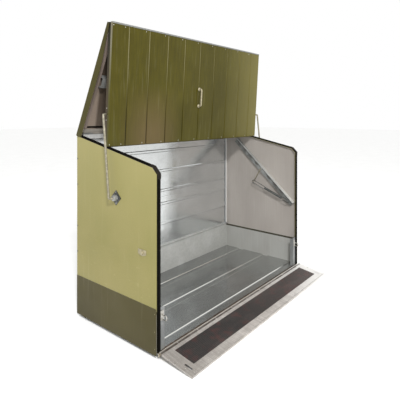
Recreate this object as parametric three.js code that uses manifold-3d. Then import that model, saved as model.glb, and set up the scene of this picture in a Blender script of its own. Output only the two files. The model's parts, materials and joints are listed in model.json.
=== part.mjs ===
// Bicycle locker: a sheet-steel box whose roof and front door fold up together on two cranked rods,
// with a fold-down ramp. Millimetres, +Z up, the front faces -Y, built in the open position.
// "d" is a distance forward from the rear face, "z" a height above the ground.
import * as THREE from "three";
import { mergeVertices } from "three/addons/utils/BufferGeometryUtils.js";
import Module from "manifold-3d";

const wasm = await Module();
wasm.setup();

// ---- Body sizes
const BODY_WIDTH = 1850;
const BODY_DEPTH = 821;
const SHEET = 1.5;
const SHEET_BOTTOM_Z = 20;
const REAR_TOP_Z = 1303;
const CHAMFER_RUN = 38;
const CHAMFER_BOTTOM_Z = 1100;
const ROOF_FALL_DEG = 11.9;
const EDGE_FLANGE = 27;
const SKIRT_TOP_Z = 298;
const PANEL_LAP = 15;
const SIDE_GAP = 0.5;

// ---- Clearances
const SEAT = 0.3;
const RUNNING = 0.4;
const KNUCKLE_GAP = 0.6;
const OVERCUT = 1;

// ---- Floor
const PAN_TOP_Z = 48;
const VALLEY_TOP_Z = 40;
const VALLEY_WIDTH = 63;
const FIRST_VALLEY_D = 190;
const SECOND_VALLEY_D = 479.5;
const FRONT_VALLEY_RUN = 71;
const FLOOR_OVERHANG = 15.5;
const FLOOR_BACK_D = 4;
const RIB_RUN = 8;
const BEARER_WEB = 60;
const BEARER_LIP = 20;
const BEARER_SHEET = 3;
const BEARER_PITCH = 800;
const BEARER_BACK_D = 15;
const BEARER_FRONT_INSET = 1;

// ---- Back wall
const SWAGE_BASE = 26;
const SWAGE_CREST = 14;
const SWAGE_DEPTH = 5;
const UPPER_SWAGES_Z = 960;
const LOWER_SWAGES_Z = 575;
const SWAGE_PITCH = 178;
const BACK_SEAM_Z = 725;
const BACK_LAP = 18;
const JOGGLE = 4;
const BACK_LOWER_Z = 283;
const BACK_SKIRT_TOP_Z = 294;
const BACK_SKIRT_RETURN = 20;
const TOP_RAIL_TOP_Z = 1312.1;
const TOP_RAIL_DEPTH = 36;
const TOP_RAIL_DROP = 30;
const POST_LEG = 30;
const POST_SHEET = 2;

// ---- Seals
const SEAL_WIDTH = 24;
const SEAL_THICK = 12;
const SEAL_INSET = 3;
const SEAL_REAR_D = 6;
const SEAL_FOOT_RISE = 6;
const CAP_REACH = 26;
const SEAL_LAMP = 4;

// ---- Front posts and lock staples
const FRONT_POST_WIDTH = 41.5;
const FRONT_POST_DEPTH = 30;
const FRONT_POST_ROUND = 14;
const STAPLE_INSET = 46;
const STAPLE_Z = 238;
const STAPLE_WIRE = 8;
const STAPLE_SPAN = 28;
const STAPLE_REACH = 42;
const STAPLE_PLATE_WIDTH = 30;
const STAPLE_PLATE_HEIGHT = 60;
const STAPLE_PLATE_THICK = 3;
const STAPLE_PLATE_RISE = 10;

// ---- Roof, measured in its own frame from the rear pivot
const REAR_PIVOT_D = 6;
const REAR_PIVOT_Z = 1318.1;
const ROOF_OUTER = 8;
const ROOF_LENGTH = 838;
const ROOF_TAIL = 14;
const ROOF_OPEN_DEG = 64.65;
const ROOF_FLANGE_CLEAR = 2.5;
const ROOF_FLANGE_DEEP = 60;
const ROOF_FLANGE_SHALLOW = 25;
const ROOF_FLANGE_TAPER = 270;
const ROOF_CORNER_CUT = 18;
const SIDE_RAIL_WIDTH = 60;
const SIDE_RAIL_DEPTH = 10;
const SIDE_RAIL_START = 48;
const SIDE_RAIL_END = 808;
const SIDE_RAIL_INSET = 3;
const CROSS_MEMBER_AT = 412;
const CROSS_MEMBER_WIDTH = 68;
const CROSS_MEMBER_DEPTH = 32;
const CROSS_MEMBER_LIP = 14;
const CROSS_HOLE_RADIUS = 9;
const CROSS_HOLE_INSET = 70;
const FRONT_STIFFENER_AT = 794;
const FRONT_STIFFENER_WIDTH = 52;

// ---- Roof to door hinge
const DOOR_PIVOT_AT = 846;
const HINGE_HALF_LENGTH = 890;
const DOOR_KNUCKLE_RADIUS = 6.2;
const DOOR_PIN_RADIUS = 2.5;
const DOOR_HOOK_BORE = 3.1;
const DOOR_HOOK_FROM_DEG = -50;
const DOOR_HOOK_TO_DEG = 90;
const HINGE_SHEET = 2;
const HINGE_LEAF = 34;
const HINGE_KNUCKLES = 19;
const REAR_KNUCKLE_RADIUS = 5.6;
const REAR_PIN_RADIUS = 2.5;

// ---- Door, measured in its own frame from the door pivot
const DOOR_LEAN_DEG = 3.6;
const DOOR_REAR = 1;
const DOOR_FACE = 41;
const DOOR_TOP = 7;
const DOOR_BOTTOM = 838;
const DOOR_TOP_FLANGE_REAR = 4;
const DOOR_LIP_REAR = 1.8;
const DOOR_LIP_DROP = 12;
const DOOR_LIP_HALF = 893;
const DOOR_SIDE_TAPER_RISE = 70;
const DOOR_SIDE_TAPER = 15;
const ROD_EAR_RADIUS = 12;
const GROOVE_PITCH = 194;
const GROOVES_EACH_SIDE = 4;
const GROOVE_WIDTH = 14;
const GROOVE_FLOOR = 7;
const GROOVE_DEPTH = 6;
const DOOR_STIFFENER_DROP = 409;
const DOOR_STIFFENER_HEIGHT = 60;
const DOOR_RAIL_HEIGHT = 46;
const DOOR_RAIL_DEPTH = 24;
const HANDLE_TOP_DROP = 409;
const HANDLE_BOTTOM_DROP = 549;
const HANDLE_STAND = 35;
const HANDLE_RADIUS = 7;
const HANDLE_FOOT_RADIUS = 15;
const HANDLE_FOOT_THICK = 5;
const HANDLE_BEND = 12;

// ---- Lifting rods, cranks and springs
const ARM_PIVOT_D = 446;
const ARM_PIVOT_Z = 914;
const ROD_RADIUS = 6;
const ROD_STAND_OFF = 43;
const ROD_BEND = 14;
const ROD_DOOR_DROP = 622;
const ROD_TOP_REACH = 14;
const ROD_INNER_INSET = 39;
const PIVOT_PLATE_SIDE = 70;
const PIVOT_PLATE_THICK = 3;
const BUSH_RADIUS = 12;
const BUSH_BOSS_RADIUS = 19;
const BUSH_NOSE = 3;
const BUSH_STAND_OFF = 30;
const CRANK_ANGLE_DEG = 239.5;
const CRANK_LENGTH = 150;
const CRANK_THICK = 6;
const CRANK_INSET = 28.5;
const CRANK_HUB_RADIUS = 17;
const CRANK_TIP_RADIUS = 11;
const SPRING_INSET = 52;
const PEG_RADIUS = 5;
const PEG_OVERHANG = 8;
const ANCHOR_D = 757;
const ANCHOR_RISE = 2;
const CHANNEL_WIDTH = 48;
const CHANNEL_DEPTH = 25;
const CHANNEL_SHEET = 2;
const CHANNEL_REAR_D = 145;
const CHANNEL_FRONT_D = 785;
const CHANNEL_FALL_DEG = 42.67;
const CHANNEL_SLOT_WIDTH = 14;
const CHANNEL_SLOT_LENGTH = 44;
const CHANNEL_SLOT_PITCH = 96;
const WIRE_RADIUS = 2;
const COIL_RADIUS = 11;
const COIL_CURLS = 31;
const COIL_PITCH = 6.6;
const CURL_STEPS = 8;
const WIRE_SIDES = 5;
const SPRING_HOOK_RUN = 70;
const SPRING_EYE_CLEAR = 0.5;
const SPRING_EYE_STEPS = 8;

// ---- Side bracket
const BRACKET_D = 697;
const BRACKET_Z = 609;
const BRACKET_WIDTH = 72;
const BRACKET_HEIGHT = 40;
const BRACKET_THICK = 3;
const BRACKET_POINT = 12;
const BRACKET_BOSS_RADIUS = 12;
const BRACKET_BOSS_HEIGHT = 9;

// ---- Ramp, measured in its own frame from its hinge
const RAMP_PIVOT_OUT = 5;
const RAMP_PIVOT_Z = 43;
const RAMP_HALF_WIDTH = 922;
const RAMP_LENGTH = 260;
const RAMP_SHEET = 2;
const RAMP_KNUCKLE_RADIUS = 5;
const RAMP_PIN_RADIUS = 2.5;
const RAMP_LIP = 12.4;
const RAMP_DOWN_DEG = 8.3;
const RAMP_KNUCKLES = 19;
const RAMP_HINGE_HALF = 893;
const RAMP_LEAF = 26;
const RAMP_LEAF_DROP = 20;
const GRIP_START = 48;
const GRIP_WIDTH = 150;
const GRIP_THICK = 2.4;
const GRIP_RIBS = 14;
const GRIP_HALF_LENGTH = 838;
const LOCK_SLOT_AT = 195;
const LOCK_SLOT_WIDTH = 14;
const LOCK_SLOT_LENGTH = 58;

// ---- Finishes
const LIGHT_GREEN = [0xb0a671, 0.45, 0.1];
const OLIVE = [0x67602f, 0.32, 0.2];
const SKIRT_GREEN = [0x605b46, 0.45, 0.2];
const GALVANISED = [0x9b9d9a, 0.42, 0.8];
const PALE_GALVANISED = [0xc9c9c4, 0.45, 0.6];
const UNDERSIDE = [0xb3afa0, 0.55, 0.2];
const DARK_STEEL = [0x40444a, 0.5, 0.6];
const BRIGHT_STEEL = [0xb4b4b0, 0.3, 0.9];
const RUBBER = [0x14120e, 0.75, 0];
const CREAM_METAL = [0xc4bc9c, 0.35, 0.3];
const GRIP_BLACK = [0x45403d, 0.9, 0];
const RAMP_METAL = [0xc6c3bd, 0.35, 0.8];

// ---- Derived places
const HALF = 1 / 2;
const QUARTER_TURN = Math.PI * HALF;
const HALF_WIDTH = BODY_WIDTH * HALF;
const HALF_DEPTH = BODY_DEPTH * HALF;
const PANEL_INNER = HALF_WIDTH - SHEET;
const SKIRT_OUTER = HALF_WIDTH + SHEET;
const fall = THREE.MathUtils.degToRad(ROOF_FALL_DEG);
const roofOpen = THREE.MathUtils.degToRad(ROOF_OPEN_DEG);
const doorLean = THREE.MathUtils.degToRad(DOOR_LEAN_DEG);
const rampDown = THREE.MathUtils.degToRad(RAMP_DOWN_DEG);
const channelFall = THREE.MathUtils.degToRad(CHANNEL_FALL_DEG);
const crankAngle = THREE.MathUtils.degToRad(CRANK_ANGLE_DEG);
const ROOF_INNER = ROOF_OUTER - SHEET;
const RAIL_INNER = ROOF_INNER - SIDE_RAIL_DEPTH;
const ROOF_FLANGE_INNER = HALF_WIDTH + ROOF_FLANGE_CLEAR;
const CHAMFER_TOP_D = BODY_DEPTH - CHAMFER_RUN;
const CHAMFER_TOP_Z = REAR_TOP_Z - CHAMFER_TOP_D * Math.tan(fall);
const PAN_EDGE_D = BODY_DEPTH - FRONT_VALLEY_RUN;
const FLOOR_FRONT_D = BODY_DEPTH + FLOOR_OVERHANG;
const BEARER_FRONT_D = BODY_DEPTH - BEARER_FRONT_INSET;
const RAMP_PIVOT_D = FLOOR_FRONT_D + RAMP_PIVOT_OUT;
const forward = (d) => HALF_DEPTH - d;

// Two-dimensional points (d, z) of the linkage.
const vec = (d, z) => new THREE.Vector2(d, z);
const rearPivot = vec(REAR_PIVOT_D, REAR_PIVOT_Z);
const armPivot = vec(ARM_PIVOT_D, ARM_PIVOT_Z);
const along = (start, angle, run) =>
  vec(start.x + run * Math.cos(angle), start.y + run * Math.sin(angle));
const doorPivotOpen = along(rearPivot, roofOpen, DOOR_PIVOT_AT);
const doorPivotClosed = along(rearPivot, -fall, DOOR_PIVOT_AT);

// The rod keeps one length, which fixes how far in front of the door pivot its pin lies.
function rodPinForward() {
  const openBase = vec(
    doorPivotOpen.x - ROD_DOOR_DROP * Math.sin(doorLean) - armPivot.x,
    doorPivotOpen.y - ROD_DOOR_DROP * Math.cos(doorLean) - armPivot.y,
  );
  const closedBase = vec(
    doorPivotClosed.x - armPivot.x,
    doorPivotClosed.y - ROD_DOOR_DROP - armPivot.y,
  );
  const openDir = vec(Math.cos(doorLean), -Math.sin(doorLean));
  const growth = closedBase.x - openBase.dot(openDir);
  return (openBase.lengthSq() - closedBase.lengthSq()) * HALF / growth;
}
const ROD_PIN_FORWARD = rodPinForward();
const rodPinOpen = vec(
  doorPivotOpen.x - ROD_DOOR_DROP * Math.sin(doorLean) + ROD_PIN_FORWARD * Math.cos(doorLean),
  doorPivotOpen.y - ROD_DOOR_DROP * Math.cos(doorLean) - ROD_PIN_FORWARD * Math.sin(doorLean),
);
const rodPinClosed = vec(
  doorPivotClosed.x + ROD_PIN_FORWARD,
  doorPivotClosed.y - ROD_DOOR_DROP,
);
const ROD_LENGTH = rodPinOpen.distanceTo(armPivot);
const rodOpenAngle = rodPinOpen.clone().sub(armPivot).angle();
const rodClosedAngle = rodPinClosed.clone().sub(armPivot).angle() - Math.PI / HALF;
const crankTip = along(armPivot, crankAngle, CRANK_LENGTH);
const anchor = vec(
  ANCHOR_D,
  ARM_PIVOT_Z - (ANCHOR_D - ARM_PIVOT_D) * Math.tan(channelFall)
    + ANCHOR_RISE / Math.cos(channelFall),
);

// ---- Geometry helpers
function toSolid(geometry) {
  const bare = geometry.clone();
  bare.deleteAttribute("normal");
  bare.deleteAttribute("uv");
  const merged = mergeVertices(bare);
  return new wasm.Manifold(new wasm.Mesh({
    numProp: 3,
    vertProperties: merged.attributes.position.array,
    triVerts: new Uint32Array(merged.index.array),
  }));
}

function toGeometry(solid) {
  const data = solid.getMesh();
  const geometry = new THREE.BufferGeometry();
  geometry.setAttribute("position", new THREE.BufferAttribute(data.vertProperties, data.numProp));
  geometry.setIndex(new THREE.BufferAttribute(data.triVerts, 1));
  return geometry;
}

function united(geometries) {
  return toGeometry(wasm.Manifold.union(geometries.map(toSolid)));
}

function cut(base, tools) {
  return toGeometry(toSolid(base).subtract(wasm.Manifold.union(tools.map(toSolid))));
}

const shapeOf = (points) => new THREE.Shape(points.map(([u, v]) => vec(u, v)));

// Extrudes an outline of (forward, up) points along X between two stations.
function acrossX(points, from, to) {
  const geometry = new THREE.ExtrudeGeometry(shapeOf(points), {
    depth: to - from,
    bevelEnabled: false,
  });
  const turn = new THREE.Matrix4().makeBasis(
    new THREE.Vector3(0, -1, 0),
    new THREE.Vector3(0, 0, 1),
    new THREE.Vector3(-1, 0, 0),
  );
  return geometry.applyMatrix4(turn).translate(to, 0, 0);
}

// Extrudes an outline of (x, up) points forward between two distances.
function alongDepth(points, from, to) {
  const geometry = new THREE.ExtrudeGeometry(shapeOf(points), {
    depth: to - from,
    bevelEnabled: false,
  });
  return geometry.rotateX(QUARTER_TURN).translate(0, -from, 0);
}

// A box between stations in x, forward distance and height.
function block(x0, x1, d0, d1, z0, z1) {
  const geometry = new THREE.BoxGeometry(x1 - x0, d1 - d0, z1 - z0);
  return geometry.translate((x0 + x1) * HALF, -(d0 + d1) * HALF, (z0 + z1) * HALF);
}

// A round bar along X at a (forward, up) place.
function barX(radius, from, to, d, z, sides) {
  const geometry = new THREE.CylinderGeometry(radius, radius, to - from, sides);
  return geometry.rotateZ(QUARTER_TURN).translate((from + to) * HALF, -d, z);
}

// A round bar pointing forward at an (x, up) place.
function barForward(radius, from, to, x, z, sides) {
  const geometry = new THREE.CylinderGeometry(radius, radius, to - from, sides);
  return geometry.translate(x, -(from + to) * HALF, z);
}

// The band between a run of (d, z) points and its mitred offset, to the right of the run for + widths.
function band(points, width) {
  const offset = points.map((point, index) => {
    const here = vec(...point);
    const before = index > 0 ? here.clone().sub(vec(...points[index - 1])).normalize() : null;
    const after = index < points.length - 1
      ? vec(...points[index + 1]).sub(here).normalize() : null;
    const first = before ?? after;
    const second = after ?? before;
    const normalA = vec(-first.y, first.x);
    const normalB = vec(-second.y, second.x);
    const mitre = normalA.clone().add(normalB);
    mitre.multiplyScalar(width / (mitre.dot(normalA)));
    return [here.x + mitre.x, here.y + mitre.y];
  });
  return [...points, ...offset.reverse()];
}

const circle = (radius, sides, u, v) => Array.from({ length: sides }, (_, index) => {
  const angle = index * Math.PI / HALF / sides;
  return [u + radius * Math.cos(angle), v + radius * Math.sin(angle)];
});

const SMALL_SIDES = 20;
const HINGE_SIDES = 12;
const HOLE_SIDES = 24;

// ---- Assembly groups
const locker = new THREE.Group();
locker.name = "bicycle_locker";
const cabinet = new THREE.Group();
cabinet.name = "cabinet_group";
cabinet.position.set(0, HALF_DEPTH, 0);
locker.add(cabinet);

function hingedGroup(name, place, angle) {
  const group = new THREE.Group();
  group.name = name;
  group.position.set(0, forward(place.x), place.y);
  group.rotation.x = angle;
  locker.add(group);
  return group;
}
const roof = hingedGroup("roof_group", rearPivot, -roofOpen);
const door = hingedGroup("door_group", doorPivotOpen, doorLean);
const arms = hingedGroup("arm_group", armPivot, -(rodOpenAngle - QUARTER_TURN));
const ramp = hingedGroup("ramp_group", vec(RAMP_PIVOT_D, RAMP_PIVOT_Z), rampDown);

function finish([color, roughness, metalness], name) {
  return new THREE.MeshStandardMaterial({ name, color, roughness, metalness });
}

function piece(parent, name, geometry, look) {
  const mesh = new THREE.Mesh(geometry, finish(look, `${name}_finish`));
  mesh.name = name;
  parent.add(mesh);
  return mesh;
}

// Adds a piece for each side; the left one is the mirrored right one.
function pair(parent, name, geometry, look) {
  piece(parent, `${name}_right`, geometry, look);
  const solid = toSolid(geometry).mirror([1, 0, 0]);
  piece(parent, `${name}_left`, toGeometry(solid), look);
}

// ---- Floor
function floorProfile() {
  const valley = (centre) => {
    const half = VALLEY_WIDTH * HALF;
    return [
      [centre - half, PAN_TOP_Z],
      [centre - half + RIB_RUN, VALLEY_TOP_Z],
      [centre + half - RIB_RUN, VALLEY_TOP_Z],
      [centre + half, PAN_TOP_Z],
    ];
  };
  const top = [
    [FLOOR_BACK_D, PAN_TOP_Z],
    ...valley(FIRST_VALLEY_D),
    ...valley(SECOND_VALLEY_D),
    [PAN_EDGE_D, PAN_TOP_Z],
    [PAN_EDGE_D + RIB_RUN, VALLEY_TOP_Z],
    [FLOOR_FRONT_D, VALLEY_TOP_Z],
    [FLOOR_FRONT_D, SHEET_BOTTOM_Z],
  ];
  return band(top, -SHEET);
}
const floorHalf = HALF_WIDTH - SIDE_GAP;
piece(cabinet, "floor_tray", acrossX(floorProfile(), -floorHalf, floorHalf), GALVANISED);

const bearerTop = VALLEY_TOP_Z - SHEET;
function bearer(name, centre) {
  const half = BEARER_WEB * HALF;
  const outline = [
    [centre - half - BEARER_LIP, bearerTop],
    [centre - half - BEARER_LIP, bearerTop - BEARER_SHEET],
    [centre - half, bearerTop - BEARER_SHEET],
    [centre - half, 0],
    [centre + half, 0],
    [centre + half, bearerTop - BEARER_SHEET],
    [centre + half + BEARER_LIP, bearerTop - BEARER_SHEET],
    [centre + half + BEARER_LIP, bearerTop],
    [centre + half - BEARER_SHEET, bearerTop],
    [centre + half - BEARER_SHEET, BEARER_SHEET],
    [centre - half + BEARER_SHEET, BEARER_SHEET],
    [centre - half + BEARER_SHEET, bearerTop],
  ];
  piece(cabinet, name, alongDepth(outline, BEARER_BACK_D, BEARER_FRONT_D), DARK_STEEL);
}
bearer("floor_bearer_left", -BEARER_PITCH);
bearer("floor_bearer_middle", 0);
bearer("floor_bearer_right", BEARER_PITCH);

// ---- Back wall: two swaged sheets over a kick sheet, with a top rail
function swaged(bottomZ, topZ, centres) {
  const run = [[0, bottomZ]];
  for (const centre of centres) {
    run.push([0, centre - SWAGE_BASE * HALF]);
    run.push([SWAGE_DEPTH, centre - SWAGE_CREST * HALF]);
    run.push([SWAGE_DEPTH, centre + SWAGE_CREST * HALF]);
    run.push([0, centre + SWAGE_BASE * HALF]);
  }
  run.push([0, topZ]);
  return run;
}
const backHalf = PANEL_INNER - SIDE_GAP;
const lowerRun = swaged(
  BACK_LOWER_Z,
  BACK_SEAM_Z - SIDE_GAP,
  [LOWER_SWAGES_Z - SWAGE_PITCH * HALF, LOWER_SWAGES_Z + SWAGE_PITCH * HALF],
);
const upperRun = [
  [SHEET, BACK_SEAM_Z - BACK_LAP],
  [SHEET, BACK_SEAM_Z],
  ...swaged(
    BACK_SEAM_Z + JOGGLE,
    REAR_TOP_Z - SHEET - SIDE_GAP,
    [UPPER_SWAGES_Z - SWAGE_PITCH, UPPER_SWAGES_Z, UPPER_SWAGES_Z + SWAGE_PITCH],
  ),
];
piece(cabinet, "back_panel_lower", acrossX(band(lowerRun, -SHEET), -backHalf, backHalf),
  PALE_GALVANISED);
piece(cabinet, "back_panel_upper", acrossX(band(upperRun, -SHEET), -backHalf, backHalf),
  PALE_GALVANISED);
const backSkirtRun = [
  [SHEET, SHEET_BOTTOM_Z],
  [SHEET, BACK_SKIRT_TOP_Z],
  [SHEET + BACK_SKIRT_RETURN, BACK_SKIRT_TOP_Z],
];
piece(cabinet, "back_skirt", acrossX(band(backSkirtRun, -SHEET), -backHalf, backHalf), GALVANISED);

const railHalf = HALF_WIDTH - EDGE_FLANGE - OVERCUT;
const topRailRun = [
  [SHEET, TOP_RAIL_TOP_Z - TOP_RAIL_DROP],
  [SHEET, TOP_RAIL_TOP_Z],
  [TOP_RAIL_DEPTH, TOP_RAIL_TOP_Z],
  [TOP_RAIL_DEPTH, TOP_RAIL_TOP_Z - TOP_RAIL_DROP],
];
piece(cabinet, "top_rail", acrossX(band(topRailRun, -POST_SHEET), -railHalf, railHalf), UNDERSIDE);

// ---- Corner posts in the rear corners
const postFront = SWAGE_DEPTH + SHEET;
const cornerPost = united([
  block(
    PANEL_INNER - POST_LEG, PANEL_INNER,
    postFront, postFront + POST_SHEET,
    SKIRT_TOP_Z, TOP_RAIL_TOP_Z - TOP_RAIL_DROP - OVERCUT,
  ),
  block(
    PANEL_INNER - POST_SHEET, PANEL_INNER,
    postFront, postFront + POST_LEG,
    SKIRT_TOP_Z, TOP_RAIL_TOP_Z - TOP_RAIL_DROP - OVERCUT,
  ),
]);
pair(cabinet, "corner_post", cornerPost, PALE_GALVANISED);

// ---- Side walls: upper sheets with folded edges, skirts lapped outside
const panelBottom = SKIRT_TOP_Z - PANEL_LAP;
const edgeRun = [
  [0, REAR_TOP_Z],
  [CHAMFER_TOP_D, CHAMFER_TOP_Z],
  [BODY_DEPTH, CHAMFER_BOTTOM_Z],
  [BODY_DEPTH, panelBottom],
];
const sideOutline = [...edgeRun, [0, panelBottom]];
const bushBore = BUSH_RADIUS + SEAT;
const boreAt = (from, to) => barX(bushBore, from, to, ARM_PIVOT_D, ARM_PIVOT_Z, HOLE_SIDES);
const sidePanel = cut(
  united([
    acrossX(sideOutline, PANEL_INNER, HALF_WIDTH),
    acrossX(band(edgeRun, -SHEET), HALF_WIDTH - EDGE_FLANGE, HALF_WIDTH),
  ]),
  [boreAt(PANEL_INNER - OVERCUT, HALF_WIDTH + OVERCUT)],
);
pair(cabinet, "side_panel", sidePanel, LIGHT_GREEN);

const returnFloor = VALLEY_TOP_Z + SEAT;
const returnOutline = [
  [HALF_WIDTH, returnFloor],
  [HALF_WIDTH, SKIRT_TOP_Z - PANEL_LAP - SIDE_GAP],
  [HALF_WIDTH - EDGE_FLANGE, SKIRT_TOP_Z - PANEL_LAP - SIDE_GAP],
  [HALF_WIDTH - EDGE_FLANGE, returnFloor],
];
const sideSkirt = united([
  block(HALF_WIDTH, SKIRT_OUTER, 0, BODY_DEPTH, SHEET_BOTTOM_Z, SKIRT_TOP_Z),
  alongDepth(
    returnOutline.map(([x, z]) => [x === HALF_WIDTH ? SKIRT_OUTER : x, z]),
    BODY_DEPTH - SHEET, BODY_DEPTH,
  ),
]);
pair(cabinet, "side_skirt", sideSkirt, SKIRT_GREEN);

// ---- Front posts with a rounded head, standing on the floor strip
const postOuterX = HALF_WIDTH - EDGE_FLANGE;
const postInnerX = postOuterX - FRONT_POST_WIDTH;
function frontPostFace() {
  const shape = new THREE.Shape();
  shape.moveTo(postInnerX, VALLEY_TOP_Z);
  shape.lineTo(postOuterX, VALLEY_TOP_Z);
  shape.lineTo(postOuterX, SKIRT_TOP_Z);
  shape.lineTo(postInnerX + FRONT_POST_ROUND, SKIRT_TOP_Z);
  shape.absarc(
    postInnerX + FRONT_POST_ROUND, SKIRT_TOP_Z - FRONT_POST_ROUND, FRONT_POST_ROUND,
    QUARTER_TURN, Math.PI, false,
  );
  const face = new THREE.ExtrudeGeometry(shape, {
    depth: SHEET,
    bevelEnabled: false,
    curveSegments: 6,
  });
  return face.rotateX(QUARTER_TURN).translate(0, -(BODY_DEPTH - SHEET), 0);
}
const legTop = SKIRT_TOP_Z - FRONT_POST_ROUND;
const frontPost = united([
  frontPostFace(),
  block(
    postInnerX, postInnerX + POST_SHEET,
    BODY_DEPTH - FRONT_POST_DEPTH, BODY_DEPTH - SHEET * HALF,
    VALLEY_TOP_Z, legTop,
  ),
  block(
    postOuterX - POST_SHEET, postOuterX,
    BODY_DEPTH - FRONT_POST_DEPTH, BODY_DEPTH - SHEET * HALF,
    VALLEY_TOP_Z, legTop,
  ),
]);
pair(cabinet, "front_post", frontPost, GALVANISED);

// ---- Lock staples: a plate with a U-shaped wire loop
function stapleLoop() {
  const half = STAPLE_SPAN * HALF;
  const straight = STAPLE_REACH - STAPLE_WIRE * HALF - half;
  const path = new THREE.CurvePath();
  const at = (run, rise) => new THREE.Vector3(0, -run, rise);
  path.add(new THREE.LineCurve3(at(0, -half), at(straight, -half)));
  const turns = 8;
  for (let index = 0; index < turns; index += 1) {
    const from = -QUARTER_TURN + index * Math.PI / turns;
    const to = from + Math.PI / turns;
    path.add(new THREE.LineCurve3(
      at(straight + half * Math.cos(from), half * Math.sin(from)),
      at(straight + half * Math.cos(to), half * Math.sin(to)),
    ));
  }
  path.add(new THREE.LineCurve3(at(straight, half), at(0, half)));
  return tube(pathPoints(path), STAPLE_WIRE * HALF, 10);
}

// Corner points of a path made of straight pieces.
function pathPoints(path) {
  const points = path.curves.map((curve) => curve.v1.clone());
  points.push(path.curves[path.curves.length - 1].v2.clone());
  return points;
}

// One closed tube through a run of points, its rings mitred and carried on without twist.
function tube(points, radius, sides) {
  const rings = [];
  const tangents = points.map((point, index) => {
    const before = points[Math.max(index - 1, 0)];
    const after = points[Math.min(index + 1, points.length - 1)];
    const inward = point.clone().sub(before).normalize();
    const outward = after.clone().sub(point).normalize();
    return inward.add(outward).normalize();
  });
  const seed = Math.abs(tangents[0].x) < HALF
    ? new THREE.Vector3(1, 0, 0) : new THREE.Vector3(0, 0, 1);
  let side = new THREE.Vector3().crossVectors(tangents[0], seed).normalize();
  points.forEach((point, index) => {
    const tangent = tangents[index];
    side = side.clone().addScaledVector(tangent, -side.dot(tangent)).normalize();
    const lift = new THREE.Vector3().crossVectors(tangent, side);
    const ring = Array.from({ length: sides }, (_, corner) => {
      const angle = corner * Math.PI / HALF / sides;
      return point.clone()
        .addScaledVector(side, radius * Math.cos(angle))
        .addScaledVector(lift, radius * Math.sin(angle));
    });
    rings.push(ring);
  });
  const positions = rings.flat().flatMap((corner) => corner.toArray());
  const indices = [];
  for (let ring = 0; ring < rings.length - 1; ring += 1) {
    for (let corner = 0; corner < sides; corner += 1) {
      const next = (corner + 1) % sides;
      const a = ring * sides + corner;
      const b = ring * sides + next;
      const c = a + sides;
      const e = b + sides;
      indices.push(a, b, e, a, e, c);
    }
  }
  const last = (rings.length - 1) * sides;
  for (let corner = 1; corner < sides - 1; corner += 1) {
    indices.push(0, corner + 1, corner);
    indices.push(last, last + corner, last + corner + 1);
  }
  const geometry = new THREE.BufferGeometry();
  geometry.setAttribute("position", new THREE.Float32BufferAttribute(positions, 3));
  geometry.setIndex(indices);
  return geometry;
}

const stapleX = HALF_WIDTH - STAPLE_INSET;
const stapleBottom = STAPLE_Z - STAPLE_PLATE_HEIGHT * HALF + STAPLE_PLATE_RISE;
const staple = united([
  block(
    stapleX - STAPLE_PLATE_WIDTH * HALF, stapleX + STAPLE_PLATE_WIDTH * HALF,
    BODY_DEPTH, BODY_DEPTH + STAPLE_PLATE_THICK,
    stapleBottom, stapleBottom + STAPLE_PLATE_HEIGHT,
  ),
  stapleLoop().translate(stapleX, -(BODY_DEPTH + STAPLE_PLATE_THICK - OVERCUT), STAPLE_Z),
]);
pair(cabinet, "lock_staple", staple, BRIGHT_STEEL);

// ---- Weather seals along the roof line and the front, with a moulded corner cap
const sealOuterX = HALF_WIDTH - SEAL_INSET;
const sealInnerX = sealOuterX - SEAL_WIDTH;
const topZ = (d) => REAR_TOP_Z - d * Math.tan(fall);
const capTop = CHAMFER_TOP_D - CAP_REACH;
const capBottom = CHAMFER_BOTTOM_Z - CAP_REACH;
function sealBar(run) {
  const softEdge = SEAL_LAMP;
  return united([
    acrossX(band(run, SEAL_THICK), sealInnerX + softEdge, sealOuterX - softEdge),
    acrossX(band(run, SEAL_THICK - softEdge), sealInnerX, sealOuterX),
  ]);
}
pair(cabinet, "top_seal", sealBar([[SEAL_REAR_D, topZ(SEAL_REAR_D)], [capTop, topZ(capTop)]]),
  RUBBER);
const sealFoot = VALLEY_TOP_Z + SEAL_FOOT_RISE;
pair(cabinet, "front_seal", sealBar([[BODY_DEPTH, capBottom], [BODY_DEPTH, sealFoot]]), RUBBER);
const capRun = [
  [capTop, topZ(capTop)],
  [CHAMFER_TOP_D, CHAMFER_TOP_Z],
  [BODY_DEPTH, CHAMFER_BOTTOM_Z],
  [BODY_DEPTH, capBottom],
];
pair(cabinet, "corner_cap", acrossX(band(capRun, SEAL_THICK), sealInnerX, sealOuterX), DARK_STEEL);

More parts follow.
